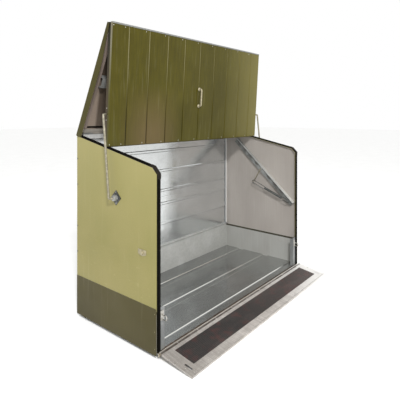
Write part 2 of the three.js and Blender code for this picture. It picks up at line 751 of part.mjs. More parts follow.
// ---- Spring channels across the inner side walls, with the spring's anchor peg
const springX = HALF_WIDTH - SPRING_INSET;
const channelWebX = PANEL_INNER - CHANNEL_DEPTH;
function channel() {
  const half = CHANNEL_WIDTH * HALF;
  const rearEnd = (CHANNEL_REAR_D - ARM_PIVOT_D) / Math.cos(channelFall);
  const frontEnd = (CHANNEL_FRONT_D - ARM_PIVOT_D) / Math.cos(channelFall);
  const low = ANCHOR_RISE - half;
  const high = ANCHOR_RISE + half;
  const body = block(channelWebX, PANEL_INNER, rearEnd, frontEnd, low, high);
  const tools = [block(
    channelWebX + CHANNEL_SHEET, PANEL_INNER + OVERCUT,
    rearEnd - OVERCUT, frontEnd + OVERCUT,
    low + CHANNEL_SHEET, high - CHANNEL_SHEET,
  )];
  const anchorRun = (ANCHOR_D - ARM_PIVOT_D - ANCHOR_RISE * Math.sin(channelFall))
    / Math.cos(channelFall);
  const count = Math.floor((frontEnd - rearEnd) / CHANNEL_SLOT_PITCH);
  const slotHalf = CHANNEL_SLOT_LENGTH * HALF + CHANNEL_SHEET;
  for (let index = 0; index < count; index += 1) {
    const centre = rearEnd + CHANNEL_SLOT_PITCH * (index + HALF);
    const clearOfBush = Math.abs(centre) > BUSH_RADIUS + slotHalf;
    const clearOfPeg = Math.abs(centre - anchorRun) > PEG_RADIUS + slotHalf;
    if (clearOfBush && clearOfPeg) {
      tools.push(block(
        channelWebX - OVERCUT, channelWebX + CHANNEL_SHEET + OVERCUT,
        centre - CHANNEL_SLOT_LENGTH * HALF, centre + CHANNEL_SLOT_LENGTH * HALF,
        ANCHOR_RISE - CHANNEL_SLOT_WIDTH * HALF, ANCHOR_RISE + CHANNEL_SLOT_WIDTH * HALF,
      ));
    }
  }
  tools.push(barX(bushBore, channelWebX - OVERCUT, channelWebX + CHANNEL_DEPTH, 0, 0, HOLE_SIDES));
  const peg = barX(
    PEG_RADIUS, springX - PEG_OVERHANG, channelWebX + CHANNEL_SHEET,
    anchorRun, ANCHOR_RISE, SMALL_SIDES,
  );
  return { geometry: united([cut(body, tools), peg]), anchorRun };
}
const channelPart = channel();
const channelGeometry = channelPart.geometry;
channelGeometry.rotateX(channelFall).translate(0, -ARM_PIVOT_D, ARM_PIVOT_Z);
pair(cabinet, "spring_channel", channelGeometry, GALVANISED);

// ---- Pivot plates and bushes
const plateHalf = PIVOT_PLATE_SIDE * Math.SQRT1_2;
const diamond = [
  [ARM_PIVOT_D - plateHalf, ARM_PIVOT_Z],
  [ARM_PIVOT_D, ARM_PIVOT_Z - plateHalf],
  [ARM_PIVOT_D + plateHalf, ARM_PIVOT_Z],
  [ARM_PIVOT_D, ARM_PIVOT_Z + plateHalf],
];
const plateOuter = HALF_WIDTH + PIVOT_PLATE_THICK;
const pivotPlate = cut(
  acrossX(diamond, HALF_WIDTH, plateOuter),
  [boreAt(HALF_WIDTH - OVERCUT, plateOuter + OVERCUT)],
);
pair(cabinet, "pivot_plate", pivotPlate, DARK_STEEL);

const crankOuterX = PANEL_INNER - CRANK_INSET + SHEET;
const crankInnerX = crankOuterX - CRANK_THICK;
const bushInner = crankOuterX + SEAT;
const bushOuter = HALF_WIDTH + BUSH_STAND_OFF;
const pivotBush = cut(
  united([
    barX(BUSH_RADIUS, bushInner, bushOuter, ARM_PIVOT_D, ARM_PIVOT_Z, HOLE_SIDES),
    barX(
      BUSH_BOSS_RADIUS, plateOuter, bushOuter - BUSH_NOSE, ARM_PIVOT_D, ARM_PIVOT_Z, HOLE_SIDES,
    ),
  ]),
  [barX(
    ROD_RADIUS + RUNNING, bushInner - OVERCUT, bushOuter + OVERCUT,
    ARM_PIVOT_D, ARM_PIVOT_Z, HOLE_SIDES,
  )],
);
pair(cabinet, "pivot_bush", pivotBush, DARK_STEEL);

// ---- Side brackets low on the outer walls
const bracketHalf = BRACKET_WIDTH * HALF;
const bracketRise = BRACKET_HEIGHT * HALF;
const pentagon = [
  [BRACKET_D - bracketHalf, BRACKET_Z + bracketRise],
  [BRACKET_D - bracketHalf, BRACKET_Z - bracketRise + BRACKET_POINT],
  [BRACKET_D, BRACKET_Z - bracketRise],
  [BRACKET_D + bracketHalf, BRACKET_Z - bracketRise + BRACKET_POINT],
  [BRACKET_D + bracketHalf, BRACKET_Z + bracketRise],
];
const bracketOuter = HALF_WIDTH + BRACKET_THICK;
pair(cabinet, "side_bracket", united([
  acrossX(pentagon, HALF_WIDTH, bracketOuter),
  barX(
    BRACKET_BOSS_RADIUS, HALF_WIDTH + SHEET, bracketOuter + BRACKET_BOSS_HEIGHT,
    BRACKET_D, BRACKET_Z, HOLE_SIDES,
  ),
]), CREAM_METAL);

// ---- Piano hinges
const ODD = 2;
function knuckleStations(half, count, turn) {
  const pitch = half / HALF / count;
  const stations = [];
  for (let index = turn; index < count; index += ODD) {
    const from = -half + index * pitch;
    stations.push([from + KNUCKLE_GAP * HALF, from + pitch - KNUCKLE_GAP * HALF]);
  }
  return stations;
}

// A leaf with a long plate and its own set of knuckles, bored for the pin.
function hingeLeaf({ plate, radius, bore, half, count, turn, relief }) {
  const plateSolid = acrossX(plate, -half, half);
  const own = knuckleStations(half, count, turn);
  const other = knuckleStations(half, count, 1 - turn);
  const clear = other.map(([from, to]) =>
    barX(radius + relief, from - KNUCKLE_GAP, to + KNUCKLE_GAP, 0, 0, HINGE_SIDES));
  const knuckles = own.map(([from, to]) => barX(radius, from, to, 0, 0, HINGE_SIDES));
  const trimmed = cut(plateSolid, clear);
  const boreBar = barX(bore, -half - OVERCUT, half + OVERCUT, 0, 0, HINGE_SIDES);
  return cut(united([trimmed, ...knuckles]), [boreBar]);
}

// Rear hinge: leaf on the top rail, leaf under the roof sheet
const rearKnuckles = {
  radius: REAR_KNUCKLE_RADIUS,
  bore: REAR_PIN_RADIUS + SEAT,
  half: HINGE_HALF_LENGTH,
  count: HINGE_KNUCKLES,
  relief: RUNNING,
};
const railTop = TOP_RAIL_TOP_Z - REAR_PIVOT_Z;
const fixedLeaf = hingeLeaf({
  ...rearKnuckles,
  plate: [
    [0, railTop],
    [TOP_RAIL_DEPTH - REAR_PIVOT_D - POST_SHEET, railTop],
    [TOP_RAIL_DEPTH - REAR_PIVOT_D - POST_SHEET, railTop + HINGE_SHEET],
    [0, railTop + HINGE_SHEET],
  ],
  turn: 0,
});
fixedLeaf.translate(0, -REAR_PIVOT_D, REAR_PIVOT_Z);
piece(cabinet, "rear_hinge_fixed_leaf", fixedLeaf, UNDERSIDE);
piece(cabinet, "rear_hinge_pin", barX(
  REAR_PIN_RADIUS, -HINGE_HALF_LENGTH, HINGE_HALF_LENGTH,
  REAR_PIVOT_D, REAR_PIVOT_Z, HINGE_SIDES,
), BRIGHT_STEEL);

const leafTop = ROOF_INNER - SEAT;
piece(roof, "rear_hinge_moving_leaf", hingeLeaf({
  ...rearKnuckles,
  plate: [
    [0, leafTop - HINGE_SHEET],
    [HINGE_LEAF, leafTop - HINGE_SHEET],
    [HINGE_LEAF, leafTop],
    [0, leafTop],
  ],
  turn: 1,
}), UNDERSIDE);

// ---- Roof: a shallow tray with tapering side flanges and stiffeners beneath
function roofPanel() {
  const flange = [
    [-ROOF_TAIL, ROOF_OUTER],
    [-ROOF_TAIL, ROOF_OUTER - ROOF_FLANGE_SHALLOW],
    [-ROOF_TAIL + ROOF_CORNER_CUT, ROOF_OUTER - ROOF_FLANGE_DEEP],
    [ROOF_LENGTH - ROOF_FLANGE_TAPER, ROOF_OUTER - ROOF_FLANGE_DEEP],
    [ROOF_LENGTH, ROOF_OUTER - ROOF_FLANGE_SHALLOW],
    [ROOF_LENGTH, ROOF_OUTER],
  ];
  const outerX = ROOF_FLANGE_INNER + SHEET;
  return united([
    block(-outerX, outerX, -ROOF_TAIL, ROOF_LENGTH, ROOF_INNER, ROOF_OUTER),
    acrossX(flange, ROOF_FLANGE_INNER, outerX),
    acrossX(flange, -outerX, -ROOF_FLANGE_INNER),
  ]);
}
piece(roof, "roof_panel", roofPanel(), OLIVE);

const railTopW = ROOF_INNER - SEAT;
const sideRailOuter = ROOF_FLANGE_INNER - SIDE_RAIL_INSET;
const sideRail = alongDepth([
  [sideRailOuter - SIDE_RAIL_WIDTH, RAIL_INNER],
  [sideRailOuter, RAIL_INNER],
  [sideRailOuter, railTopW],
  [sideRailOuter - SHEET, railTopW],
  [sideRailOuter - SHEET, RAIL_INNER + SHEET],
  [sideRailOuter - SIDE_RAIL_WIDTH + SHEET, RAIL_INNER + SHEET],
  [sideRailOuter - SIDE_RAIL_WIDTH + SHEET, railTopW],
  [sideRailOuter - SIDE_RAIL_WIDTH, railTopW],
], SIDE_RAIL_START, SIDE_RAIL_END);
pair(roof, "roof_side_rail", sideRail, UNDERSIDE);

const betweenRails = sideRailOuter - SIDE_RAIL_WIDTH - SEAT;
function crossMember(centre, width, depth, lip) {
  const half = width * HALF;
  const run = [
    [centre - half - lip, railTopW],
    [centre - half, railTopW],
    [centre - half, railTopW - depth],
    [centre + half, railTopW - depth],
    [centre + half, railTopW],
    [centre + half + lip, railTopW],
  ];
  return acrossX(band(run, -SHEET), -betweenRails, betweenRails);
}
const holes = [-1, 1].map((side) => {
  const hole = new THREE.CylinderGeometry(
    CROSS_HOLE_RADIUS, CROSS_HOLE_RADIUS, CROSS_MEMBER_DEPTH / HALF, HOLE_SIDES,
  );
  hole.rotateX(QUARTER_TURN);
  return hole.translate(
    side * (betweenRails - CROSS_HOLE_INSET), -CROSS_MEMBER_AT, railTopW - CROSS_MEMBER_DEPTH,
  );
});
const middleStiffener = crossMember(
  CROSS_MEMBER_AT, CROSS_MEMBER_WIDTH, CROSS_MEMBER_DEPTH, CROSS_MEMBER_LIP,
);
piece(roof, "roof_stiffener_middle", cut(middleStiffener, holes), DARK_STEEL);
piece(roof, "roof_stiffener_front", crossMember(
  FRONT_STIFFENER_AT - HINGE_LEAF, FRONT_STIFFENER_WIDTH - CROSS_MEMBER_LIP, SIDE_RAIL_DEPTH,
  CROSS_MEMBER_LIP * HALF,
), UNDERSIDE);

// Door hinge leaf under the roof's front edge, with the long pin
const doorLeafBack = -HINGE_LEAF;
const doorHingeRoofLeaf = hingeLeaf({
  radius: DOOR_KNUCKLE_RADIUS,
  bore: DOOR_PIN_RADIUS + SEAT,
  half: HINGE_HALF_LENGTH,
  count: HINGE_KNUCKLES,
  relief: RUNNING,
  plate: [
    [doorLeafBack, leafTop - HINGE_SHEET],
    [0, leafTop - HINGE_SHEET],
    [0, leafTop],
    [doorLeafBack, leafTop],
  ],
  turn: 0,
});
doorHingeRoofLeaf.translate(0, -DOOR_PIVOT_AT, 0);
piece(roof, "door_hinge_roof_leaf", doorHingeRoofLeaf, BRIGHT_STEEL);
piece(roof, "door_hinge_pin", barX(
  DOOR_PIN_RADIUS, -HINGE_HALF_LENGTH, HINGE_HALF_LENGTH, DOOR_PIVOT_AT, 0, HINGE_SIDES,
), BRIGHT_STEEL);

// ---- Door: a grooved tray with folded edges
function doorFace() {
  const half = HALF_WIDTH;
  const outer = [[-half, DOOR_FACE]];
  const outerPoints = [];
  for (let index = -GROOVES_EACH_SIDE; index <= GROOVES_EACH_SIDE; index += 1) {
    const centre = index * GROOVE_PITCH;
    outerPoints.push([centre - GROOVE_WIDTH * HALF, DOOR_FACE]);
    outerPoints.push([centre - GROOVE_FLOOR * HALF, DOOR_FACE - GROOVE_DEPTH]);
    outerPoints.push([centre + GROOVE_FLOOR * HALF, DOOR_FACE - GROOVE_DEPTH]);
    outerPoints.push([centre + GROOVE_WIDTH * HALF, DOOR_FACE]);
  }
  outer.push(...outerPoints, [half, DOOR_FACE]);
  const outline = band(outer, -SHEET);
  const geometry = new THREE.ExtrudeGeometry(shapeOf(outline.map(([x, d]) => [x, -d])), {
    depth: DOOR_BOTTOM - DOOR_TOP,
    bevelEnabled: false,
  });
  return geometry.translate(0, 0, -DOOR_BOTTOM);
}
// The lug round the rod's pin, drawn out to a root inside the door's side flange.
function rodEar(from, to) {
  const around = barX(ROD_EAR_RADIUS, from, to, ROD_PIN_FORWARD, -ROD_DOOR_DROP, HOLE_SIDES);
  const root = barX(ROD_RADIUS, from, to, DOOR_FACE * HALF, -ROD_DOOR_DROP, HOLE_SIDES);
  return toGeometry(wasm.Manifold.hull([toSolid(around), toSolid(root)]));
}

function doorPanel() {
  const half = HALF_WIDTH;
  const top = -DOOR_TOP;
  const bottom = -DOOR_BOTTOM;
  const back = DOOR_FACE - GROOVE_DEPTH - SHEET * HALF;
  const parts = [doorFace()];
  const sideOutline = [
    [DOOR_REAR, top],
    [DOOR_REAR, bottom + DOOR_SIDE_TAPER_RISE],
    [DOOR_REAR + DOOR_SIDE_TAPER, bottom],
    [DOOR_FACE, bottom],
    [DOOR_FACE, top],
  ];
  for (const side of [-1, 1]) {
    const edges = [side * half, side * (half - SHEET)].sort((a, b) => a - b);
    parts.push(acrossX(sideOutline, ...edges));
    parts.push(rodEar(...edges));
  }
  parts.push(block(-half, half, DOOR_TOP_FLANGE_REAR, DOOR_FACE, top - SHEET, top));
  parts.push(block(-DOOR_LIP_HALF, DOOR_LIP_HALF, -DOOR_LIP_REAR, DOOR_FACE, bottom,
    bottom + SHEET));
  parts.push(block(-DOOR_LIP_HALF, DOOR_LIP_HALF, -DOOR_LIP_REAR, -DOOR_LIP_REAR + SHEET,
    bottom - DOOR_LIP_DROP, bottom + SHEET));
  parts.push(block(-half, half, back, DOOR_FACE - SHEET * HALF, top - SHEET, top));
  const rodHole = barX(ROD_RADIUS + RUNNING, -half - OVERCUT, half + OVERCUT,
    ROD_PIN_FORWARD, -ROD_DOOR_DROP, HOLE_SIDES);
  return cut(united(parts), [rodHole]);
}
piece(door, "door_panel", doorPanel(), OLIVE);

// Ribs behind the face that tie it together: one across the middle, one along the bottom
const ribFront = DOOR_FACE - SHEET - GROOVE_DEPTH - SEAT;
const ribBack = ribFront - DOOR_RAIL_DEPTH;
const ribHalf = DOOR_LIP_HALF;
function doorRib(centre, height) {
  const run = [
    [ribFront, centre + height * HALF],
    [ribBack, centre + height * HALF],
    [ribBack, centre - height * HALF],
    [ribFront, centre - height * HALF],
  ];
  return acrossX(band(run, SHEET), -ribHalf, ribHalf);
}
piece(door, "door_stiffener", doorRib(-DOOR_STIFFENER_DROP, DOOR_STIFFENER_HEIGHT), UNDERSIDE);
piece(door, "door_bottom_rail", doorRib(
  -(DOOR_BOTTOM - DOOR_RAIL_HEIGHT), DOOR_RAIL_HEIGHT,
), UNDERSIDE);

// Handle: a round bar bent to the face on two round feet, on the middle groove
function doorHandle() {
  const footFace = DOOR_FACE + SEAT;
  const barCentre = DOOR_FACE + HANDLE_STAND - HANDLE_RADIUS;
  const at = (d, z) => new THREE.Vector3(0, -d, z);
  const points = [at(footFace + SHEET, -HANDLE_TOP_DROP)];
  const bends = 4;
  const corner = (centreZ, sign) => {
    for (let index = 0; index <= bends; index += 1) {
      const angle = index * QUARTER_TURN / bends;
      const depth = barCentre - HANDLE_BEND + HANDLE_BEND * Math.sin(angle);
      const drop = HANDLE_BEND * (1 - Math.cos(angle));
      points.push(at(depth, centreZ - sign * drop));
    }
  };
  corner(-HANDLE_TOP_DROP, 1);
  const lower = [];
  for (let index = bends; index >= 0; index -= 1) {
    const angle = index * QUARTER_TURN / bends;
    const depth = barCentre - HANDLE_BEND + HANDLE_BEND * Math.sin(angle);
    const drop = HANDLE_BEND * (1 - Math.cos(angle));
    lower.push(at(depth, -HANDLE_BOTTOM_DROP + drop));
  }
  points.push(...lower, at(footFace + SHEET, -HANDLE_BOTTOM_DROP));
  const foot = (drop) => barForward(
    HANDLE_FOOT_RADIUS, footFace, footFace + HANDLE_FOOT_THICK, 0, -drop, HOLE_SIDES,
  );
  return united([tube(points, HANDLE_RADIUS, 14), foot(HANDLE_TOP_DROP), foot(HANDLE_BOTTOM_DROP)]);
}
piece(door, "door_handle", doorHandle(), CREAM_METAL);

// Door leaf: its knuckles are open hooks that lie over the pin of the roof leaf
function doorHooks() {
  const plateFront = DOOR_TOP_FLANGE_REAR + HINGE_LEAF;
  const flangeTop = -DOOR_TOP + SEAT;
  const from = THREE.MathUtils.degToRad(DOOR_HOOK_FROM_DEG);
  const to = THREE.MathUtils.degToRad(DOOR_HOOK_TO_DEG);
  const steps = 8;
  const arc = (radius, start, end) => Array.from({ length: steps + 1 }, (_, index) => {
    const angle = start + (end - start) * index / steps;
    return [radius * Math.cos(angle), radius * Math.sin(angle)];
  });
  const hook = [
    ...arc(DOOR_KNUCKLE_RADIUS, from, to),
    ...arc(DOOR_HOOK_BORE, to, from),
  ];
  const neckX = DOOR_KNUCKLE_RADIUS * Math.cos(from);
  const neck = [
    [DOOR_HOOK_BORE * Math.cos(from), DOOR_HOOK_BORE * Math.sin(from)],
    [DOOR_HOOK_BORE, flangeTop],
    [plateFront, flangeTop],
    [plateFront, flangeTop + HINGE_SHEET],
    [neckX + HINGE_SHEET, flangeTop + HINGE_SHEET],
    [DOOR_KNUCKLE_RADIUS * Math.cos(from * HALF), DOOR_KNUCKLE_RADIUS * Math.sin(from * HALF)],
  ];
  const plate = block(-HINGE_HALF_LENGTH, HINGE_HALF_LENGTH,
    DOOR_KNUCKLE_RADIUS + OVERCUT, plateFront, flangeTop, flangeTop + HINGE_SHEET);
  const parts = [plate];
  for (const [start, end] of knuckleStations(HINGE_HALF_LENGTH, HINGE_KNUCKLES, 1)) {
    parts.push(acrossX(hook, start, end));
    parts.push(acrossX(neck, start, end));
  }
  return united(parts);
}
piece(door, "door_hinge_door_leaf", doorHooks(), BRIGHT_STEEL);

// ---- Lifting rods and their inner cranks; in this group the rod points straight up
const rodX = HALF_WIDTH + ROD_STAND_OFF;
function armRod() {
  const at = (x, z) => new THREE.Vector3(x, 0, z);
  const bends = 5;
  const points = [at(HALF_WIDTH - ROD_INNER_INSET, 0)];
  for (let index = 0; index <= bends; index += 1) {
    const angle = index * QUARTER_TURN / bends;
    points.push(at(
      rodX - ROD_BEND + ROD_BEND * Math.sin(angle),
      ROD_BEND * (1 - Math.cos(angle)),
    ));
  }
  for (let index = bends; index >= 0; index -= 1) {
    const angle = index * QUARTER_TURN / bends;
    points.push(at(
      rodX - ROD_BEND + ROD_BEND * Math.sin(angle),
      ROD_LENGTH - ROD_BEND * (1 - Math.cos(angle)),
    ));
  }
  points.push(at(HALF_WIDTH - ROD_TOP_REACH, ROD_LENGTH));
  return tube(points, ROD_RADIUS, 16);
}
pair(arms, "arm_rod", armRod(), CREAM_METAL);

const crankTurn = crankAngle - rodOpenAngle;
function crankLever() {
  const steps = 9;
  const wrap = (radius, centre, from, to) => Array.from({ length: steps }, (_, index) => {
    const angle = from + (to - from) * index / (steps - 1);
    return [centre + radius * Math.cos(angle), radius * Math.sin(angle)];
  });
  const outline = [
    ...wrap(CRANK_TIP_RADIUS, CRANK_LENGTH, -QUARTER_TURN, QUARTER_TURN),
    ...wrap(CRANK_HUB_RADIUS, 0, QUARTER_TURN, Math.PI + QUARTER_TURN),
  ];
  const plate = acrossX(outline, crankInnerX, crankOuterX);
  const peg = barX(
    PEG_RADIUS, springX - PEG_OVERHANG, crankOuterX - SHEET, CRANK_LENGTH, 0, SMALL_SIDES,
  );
  const bore = barX(
    ROD_RADIUS + SEAT, crankInnerX - OVERCUT, crankOuterX + OVERCUT, 0, 0, HOLE_SIDES,
  );
  const solid = cut(united([plate, peg]), [bore]);
  return solid.rotateX(-(crankTurn + QUARTER_TURN));
}
pair(arms, "crank_lever", crankLever(), GALVANISED);

// ---- Springs from the crank peg to the anchor peg, one unbroken wire with a long eye at each end
const springRun = anchor.clone().sub(crankTip);
const SPRING_SPAN = springRun.length();
const springAngle = springRun.angle();
function springPath() {
  const points = [];
  const eyeRadius = PEG_RADIUS + WIRE_RADIUS + SPRING_EYE_CLEAR;
  const coilRun = COIL_CURLS * COIL_PITCH;
  const coilEnd = SPRING_SPAN - SPRING_HOOK_RUN;
  const coilStart = coilEnd - coilRun;
  const at = (run, side, lift) => new THREE.Vector3(side, -run, lift);
  const freeEnd = coilStart - COIL_PITCH;
  points.push(at(freeEnd, 0, -eyeRadius));
  for (let index = 0; index <= SPRING_EYE_STEPS; index += 1) {
    const angle = -QUARTER_TURN - Math.PI * index / SPRING_EYE_STEPS;
    points.push(at(eyeRadius * Math.cos(angle), 0, eyeRadius * Math.sin(angle)));
  }
  points.push(at(coilStart - COIL_PITCH, 0, eyeRadius));
  const total = COIL_CURLS * CURL_STEPS;
  for (let index = 0; index <= total; index += 1) {
    const angle = QUARTER_TURN - index * Math.PI / HALF / CURL_STEPS;
    points.push(at(
      coilStart + index * COIL_PITCH / CURL_STEPS,
      COIL_RADIUS * Math.cos(angle),
      COIL_RADIUS * Math.sin(angle),
    ));
  }
  points.push(at(coilEnd + COIL_PITCH, 0, eyeRadius));
  for (let index = 0; index <= SPRING_EYE_STEPS; index += 1) {
    const angle = QUARTER_TURN - Math.PI * index / SPRING_EYE_STEPS;
    points.push(at(SPRING_SPAN + eyeRadius * Math.cos(angle), 0, eyeRadius * Math.sin(angle)));
  }
  points.push(at(coilEnd + COIL_PITCH / HALF, 0, -eyeRadius));
  return points;
}

// Least gap of a wire to itself, between points further apart along it than a half curl.
function leastSelfGap(points, radius, skip) {
  let least = Infinity;
  const segments = points.slice(1).map((point, index) => new THREE.Line3(points[index], point));
  const sample = new THREE.Vector3();
  const nearest = new THREE.Vector3();
  const shares = [0, HALF, 1];
  segments.forEach((segment, index) => {
    for (let other = index + skip; other < segments.length; other += 1) {
      for (const share of shares) {
        segment.at(share, sample);
        segments[other].closestPointToPoint(sample, true, nearest);
        least = Math.min(least, sample.distanceTo(nearest));
      }
    }
  });
  return least - radius / HALF;
}
const springPoints = springPath();
console.log("spring wire least gap to itself, mm:",
  leastSelfGap(springPoints, WIRE_RADIUS, CURL_STEPS * HALF).toFixed(2));
console.log("rod length", ROD_LENGTH.toFixed(2), "pin forward", ROD_PIN_FORWARD.toFixed(2));
const deg = (angle) => THREE.MathUtils.radToDeg(angle).toFixed(4);
console.log("rod open", deg(rodOpenAngle), "rod closed", deg(rodClosedAngle));
console.log("door pivot open d z", doorPivotOpen.x.toFixed(3), doorPivotOpen.y.toFixed(3));
console.log("rod pin open d z", rodPinOpen.x.toFixed(3), rodPinOpen.y.toFixed(3));
console.log("anchor d z", anchor.x.toFixed(3), anchor.y.toFixed(3), "tip", crankTip.x.toFixed(3),
  crankTip.y.toFixed(3), "span", SPRING_SPAN.toFixed(2));
const springs = hingedGroup("spring_group", crankTip, -springAngle);
const springSolid = tube(springPoints, WIRE_RADIUS, WIRE_SIDES).translate(springX, 0, 0);
pair(springs, "spring", springSolid, BRIGHT_STEEL);

// ---- Ramp and its hinge
const rampKnuckles = {
  radius: RAMP_KNUCKLE_RADIUS,
  bore: RAMP_PIN_RADIUS + SEAT,
  half: RAMP_HINGE_HALF,
  count: RAMP_KNUCKLES,
  relief: RUNNING,
};
const leafBack = FLOOR_FRONT_D - RAMP_PIVOT_D;
const rampFixedLeaf = hingeLeaf({
  ...rampKnuckles,
  plate: [
    [leafBack, 0],
    [leafBack, -RAMP_LEAF_DROP],
    [leafBack + HINGE_SHEET, -RAMP_LEAF_DROP],
    [leafBack + HINGE_SHEET, 0],
  ],
  turn: 0,
});
rampFixedLeaf.translate(0, -RAMP_PIVOT_D, RAMP_PIVOT_Z);
piece(cabinet, "ramp_hinge_fixed_leaf", rampFixedLeaf, BRIGHT_STEEL);
piece(cabinet, "ramp_hinge_pin", barX(
  RAMP_PIN_RADIUS, -RAMP_HINGE_HALF, RAMP_HINGE_HALF, RAMP_PIVOT_D, RAMP_PIVOT_Z, HINGE_SIDES,
), BRIGHT_STEEL);
piece(ramp, "ramp_hinge_moving_leaf", hingeLeaf({
  ...rampKnuckles,
  plate: [
    [0, RAMP_KNUCKLE_RADIUS - HINGE_SHEET],
    [RAMP_LEAF, RAMP_KNUCKLE_RADIUS - HINGE_SHEET],
    [RAMP_LEAF, RAMP_KNUCKLE_RADIUS],
    [0, RAMP_KNUCKLE_RADIUS],
  ],
  turn: 1,
}), BRIGHT_STEEL);

const rampUnder = RAMP_KNUCKLE_RADIUS + SEAT;
const rampTop = rampUnder + RAMP_SHEET;
const slotX = HALF_WIDTH - STAPLE_INSET;
function rampPlate() {
  const run = [
    [0, rampTop],
    [RAMP_LENGTH, rampTop],
    [RAMP_LENGTH, rampTop - RAMP_LIP],
  ];
  const sheet = acrossX(band(run, -RAMP_SHEET), -RAMP_HALF_WIDTH, RAMP_HALF_WIDTH);
  const edges = [-1, 1].map((side) => {
    const [from, to] = [side * RAMP_HALF_WIDTH, side * (RAMP_HALF_WIDTH - RAMP_SHEET)]
      .sort((a, b) => a - b);
    return block(from, to, RAMP_LIP, RAMP_LENGTH, rampTop - RAMP_LIP, rampTop);
  });
  const slots = [-1, 1].map((side) => block(
    side * slotX - LOCK_SLOT_WIDTH * HALF, side * slotX + LOCK_SLOT_WIDTH * HALF,
    LOCK_SLOT_AT - LOCK_SLOT_LENGTH * HALF, LOCK_SLOT_AT + LOCK_SLOT_LENGTH * HALF,
    rampUnder - OVERCUT, rampTop + OVERCUT,
  ));
  return cut(united([sheet, ...edges]), slots);
}
piece(ramp, "ramp_plate", rampPlate(), RAMP_METAL);

function gripStrip() {
  const base = rampTop + SEAT;
  const low = base + GRIP_THICK * HALF;
  const high = base + GRIP_THICK;
  const outline = [[GRIP_START, base], [GRIP_START + GRIP_WIDTH, base]];
  const pitch = GRIP_WIDTH / GRIP_RIBS;
  for (let index = GRIP_RIBS; index > 0; index -= 1) {
    const end = GRIP_START + index * pitch;
    outline.push([end, low], [end - pitch * HALF * HALF, high]);
    outline.push([end - pitch * HALF, high], [end - pitch * (1 - HALF * HALF), low]);
  }
  outline.push([GRIP_START, low]);
  return acrossX(outline, -GRIP_HALF_LENGTH, GRIP_HALF_LENGTH);
}
piece(ramp, "ramp_grip_strip", gripStrip(), GRIP_BLACK);

export default locker;
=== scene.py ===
"""Dresses the bicycle locker: finishes for its solids, and the small pieces that they leave out.

All lengths are in metres in the frame of the solids: +X to the right, +Y to the back, +Z up.
"""

from __future__ import annotations

import json
import logging
import math
from dataclasses import dataclass, field
from enum import Enum
from typing import Any, ClassVar

import bpy
import numpy as np
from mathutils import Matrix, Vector

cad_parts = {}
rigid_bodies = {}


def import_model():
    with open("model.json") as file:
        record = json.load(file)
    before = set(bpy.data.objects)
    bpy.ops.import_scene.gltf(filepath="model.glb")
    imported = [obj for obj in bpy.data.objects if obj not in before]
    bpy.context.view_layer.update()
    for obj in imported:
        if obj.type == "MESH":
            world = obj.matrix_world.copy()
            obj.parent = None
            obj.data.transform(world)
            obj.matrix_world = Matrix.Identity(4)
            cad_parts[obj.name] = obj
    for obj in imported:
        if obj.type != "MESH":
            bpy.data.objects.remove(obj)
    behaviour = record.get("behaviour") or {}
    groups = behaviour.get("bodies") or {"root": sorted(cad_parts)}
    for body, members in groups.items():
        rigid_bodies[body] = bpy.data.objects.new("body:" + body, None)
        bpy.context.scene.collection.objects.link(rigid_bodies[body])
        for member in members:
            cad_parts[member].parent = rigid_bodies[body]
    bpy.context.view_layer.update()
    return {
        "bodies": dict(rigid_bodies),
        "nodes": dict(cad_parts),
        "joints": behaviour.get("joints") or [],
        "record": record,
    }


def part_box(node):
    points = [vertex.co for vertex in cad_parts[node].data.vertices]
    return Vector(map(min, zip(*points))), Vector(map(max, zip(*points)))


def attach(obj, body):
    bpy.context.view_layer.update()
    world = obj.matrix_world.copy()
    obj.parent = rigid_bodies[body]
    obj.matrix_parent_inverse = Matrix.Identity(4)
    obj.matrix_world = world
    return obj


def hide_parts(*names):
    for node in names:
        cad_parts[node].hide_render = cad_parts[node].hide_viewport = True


LOG = logging.getLogger("bicycle_locker")
MM = 0.001
SIDES = (("left", -1.0), ("right", 1.0))
UNSTRETCHED = (1.0, 1.0, 1.0)
Pair = tuple[float, float]

HALF_WIDTH = 925 * MM
HALF_DEPTH = 410.5 * MM
BODY_DEPTH = 821 * MM
GROOVE_PITCH = 194 * MM
ARM_PIVOT = (446 * MM, 914 * MM)


def place(x: float, forward: float, up: float) -> Vector:
    """Gives the point x from the centre, a distance forward of the rear face, and a height."""
    return Vector((x, HALF_DEPTH - forward, up))


# ---------------------------------------------------------------- colours and nodes


def linear(hex_colour: str) -> tuple[float, float, float, float]:
    """Turns an sRGB hex colour to linear light.

    Args:
        hex_colour: six hex digits.

    Returns:
        Linear red, green and blue, with alpha 1.
    """
    values = np.array([int(hex_colour[i:i + 2], 16) for i in (0, 2, 4)]) / 255.0
    low = values / 12.92
    high = ((values + 0.055) / 1.055) ** 2.4
    red, green, blue = np.where(values <= 0.04045, low, high)
    return float(red), float(green), float(blue), 1.0


def connect(tree: bpy.types.NodeTree, socket: bpy.types.NodeSocket, value: Any) -> None:
    """Links another socket to a socket, or sets it to a value.

    Args:
        tree: the node tree that holds the socket.
        socket: the input socket.
        value: a constant, or the output socket that feeds it.
    """
    if isinstance(value, bpy.types.NodeSocket):
        tree.links.new(value, socket)
    else:
        socket.default_value = value


def add_node(tree: bpy.types.NodeTree, kind: str, inputs: dict[Any, Any] | None = None,
             **settings: Any) -> bpy.types.Node:
    """Adds one node with its settings, values and links.

    Args:
        tree: the node tree that takes the node.
        kind: the node's type name, without the word ShaderNode.
        inputs: input name or index to a value, or to the socket that feeds it.
        settings: the node's own properties.

    Returns:
        The new node.
    """
    node = tree.nodes.new("ShaderNode" + kind)
    for name, value in settings.items():
        setattr(node, name, value)
    for key, value in (inputs or {}).items():
        connect(tree, node.inputs[key], value)
    return node


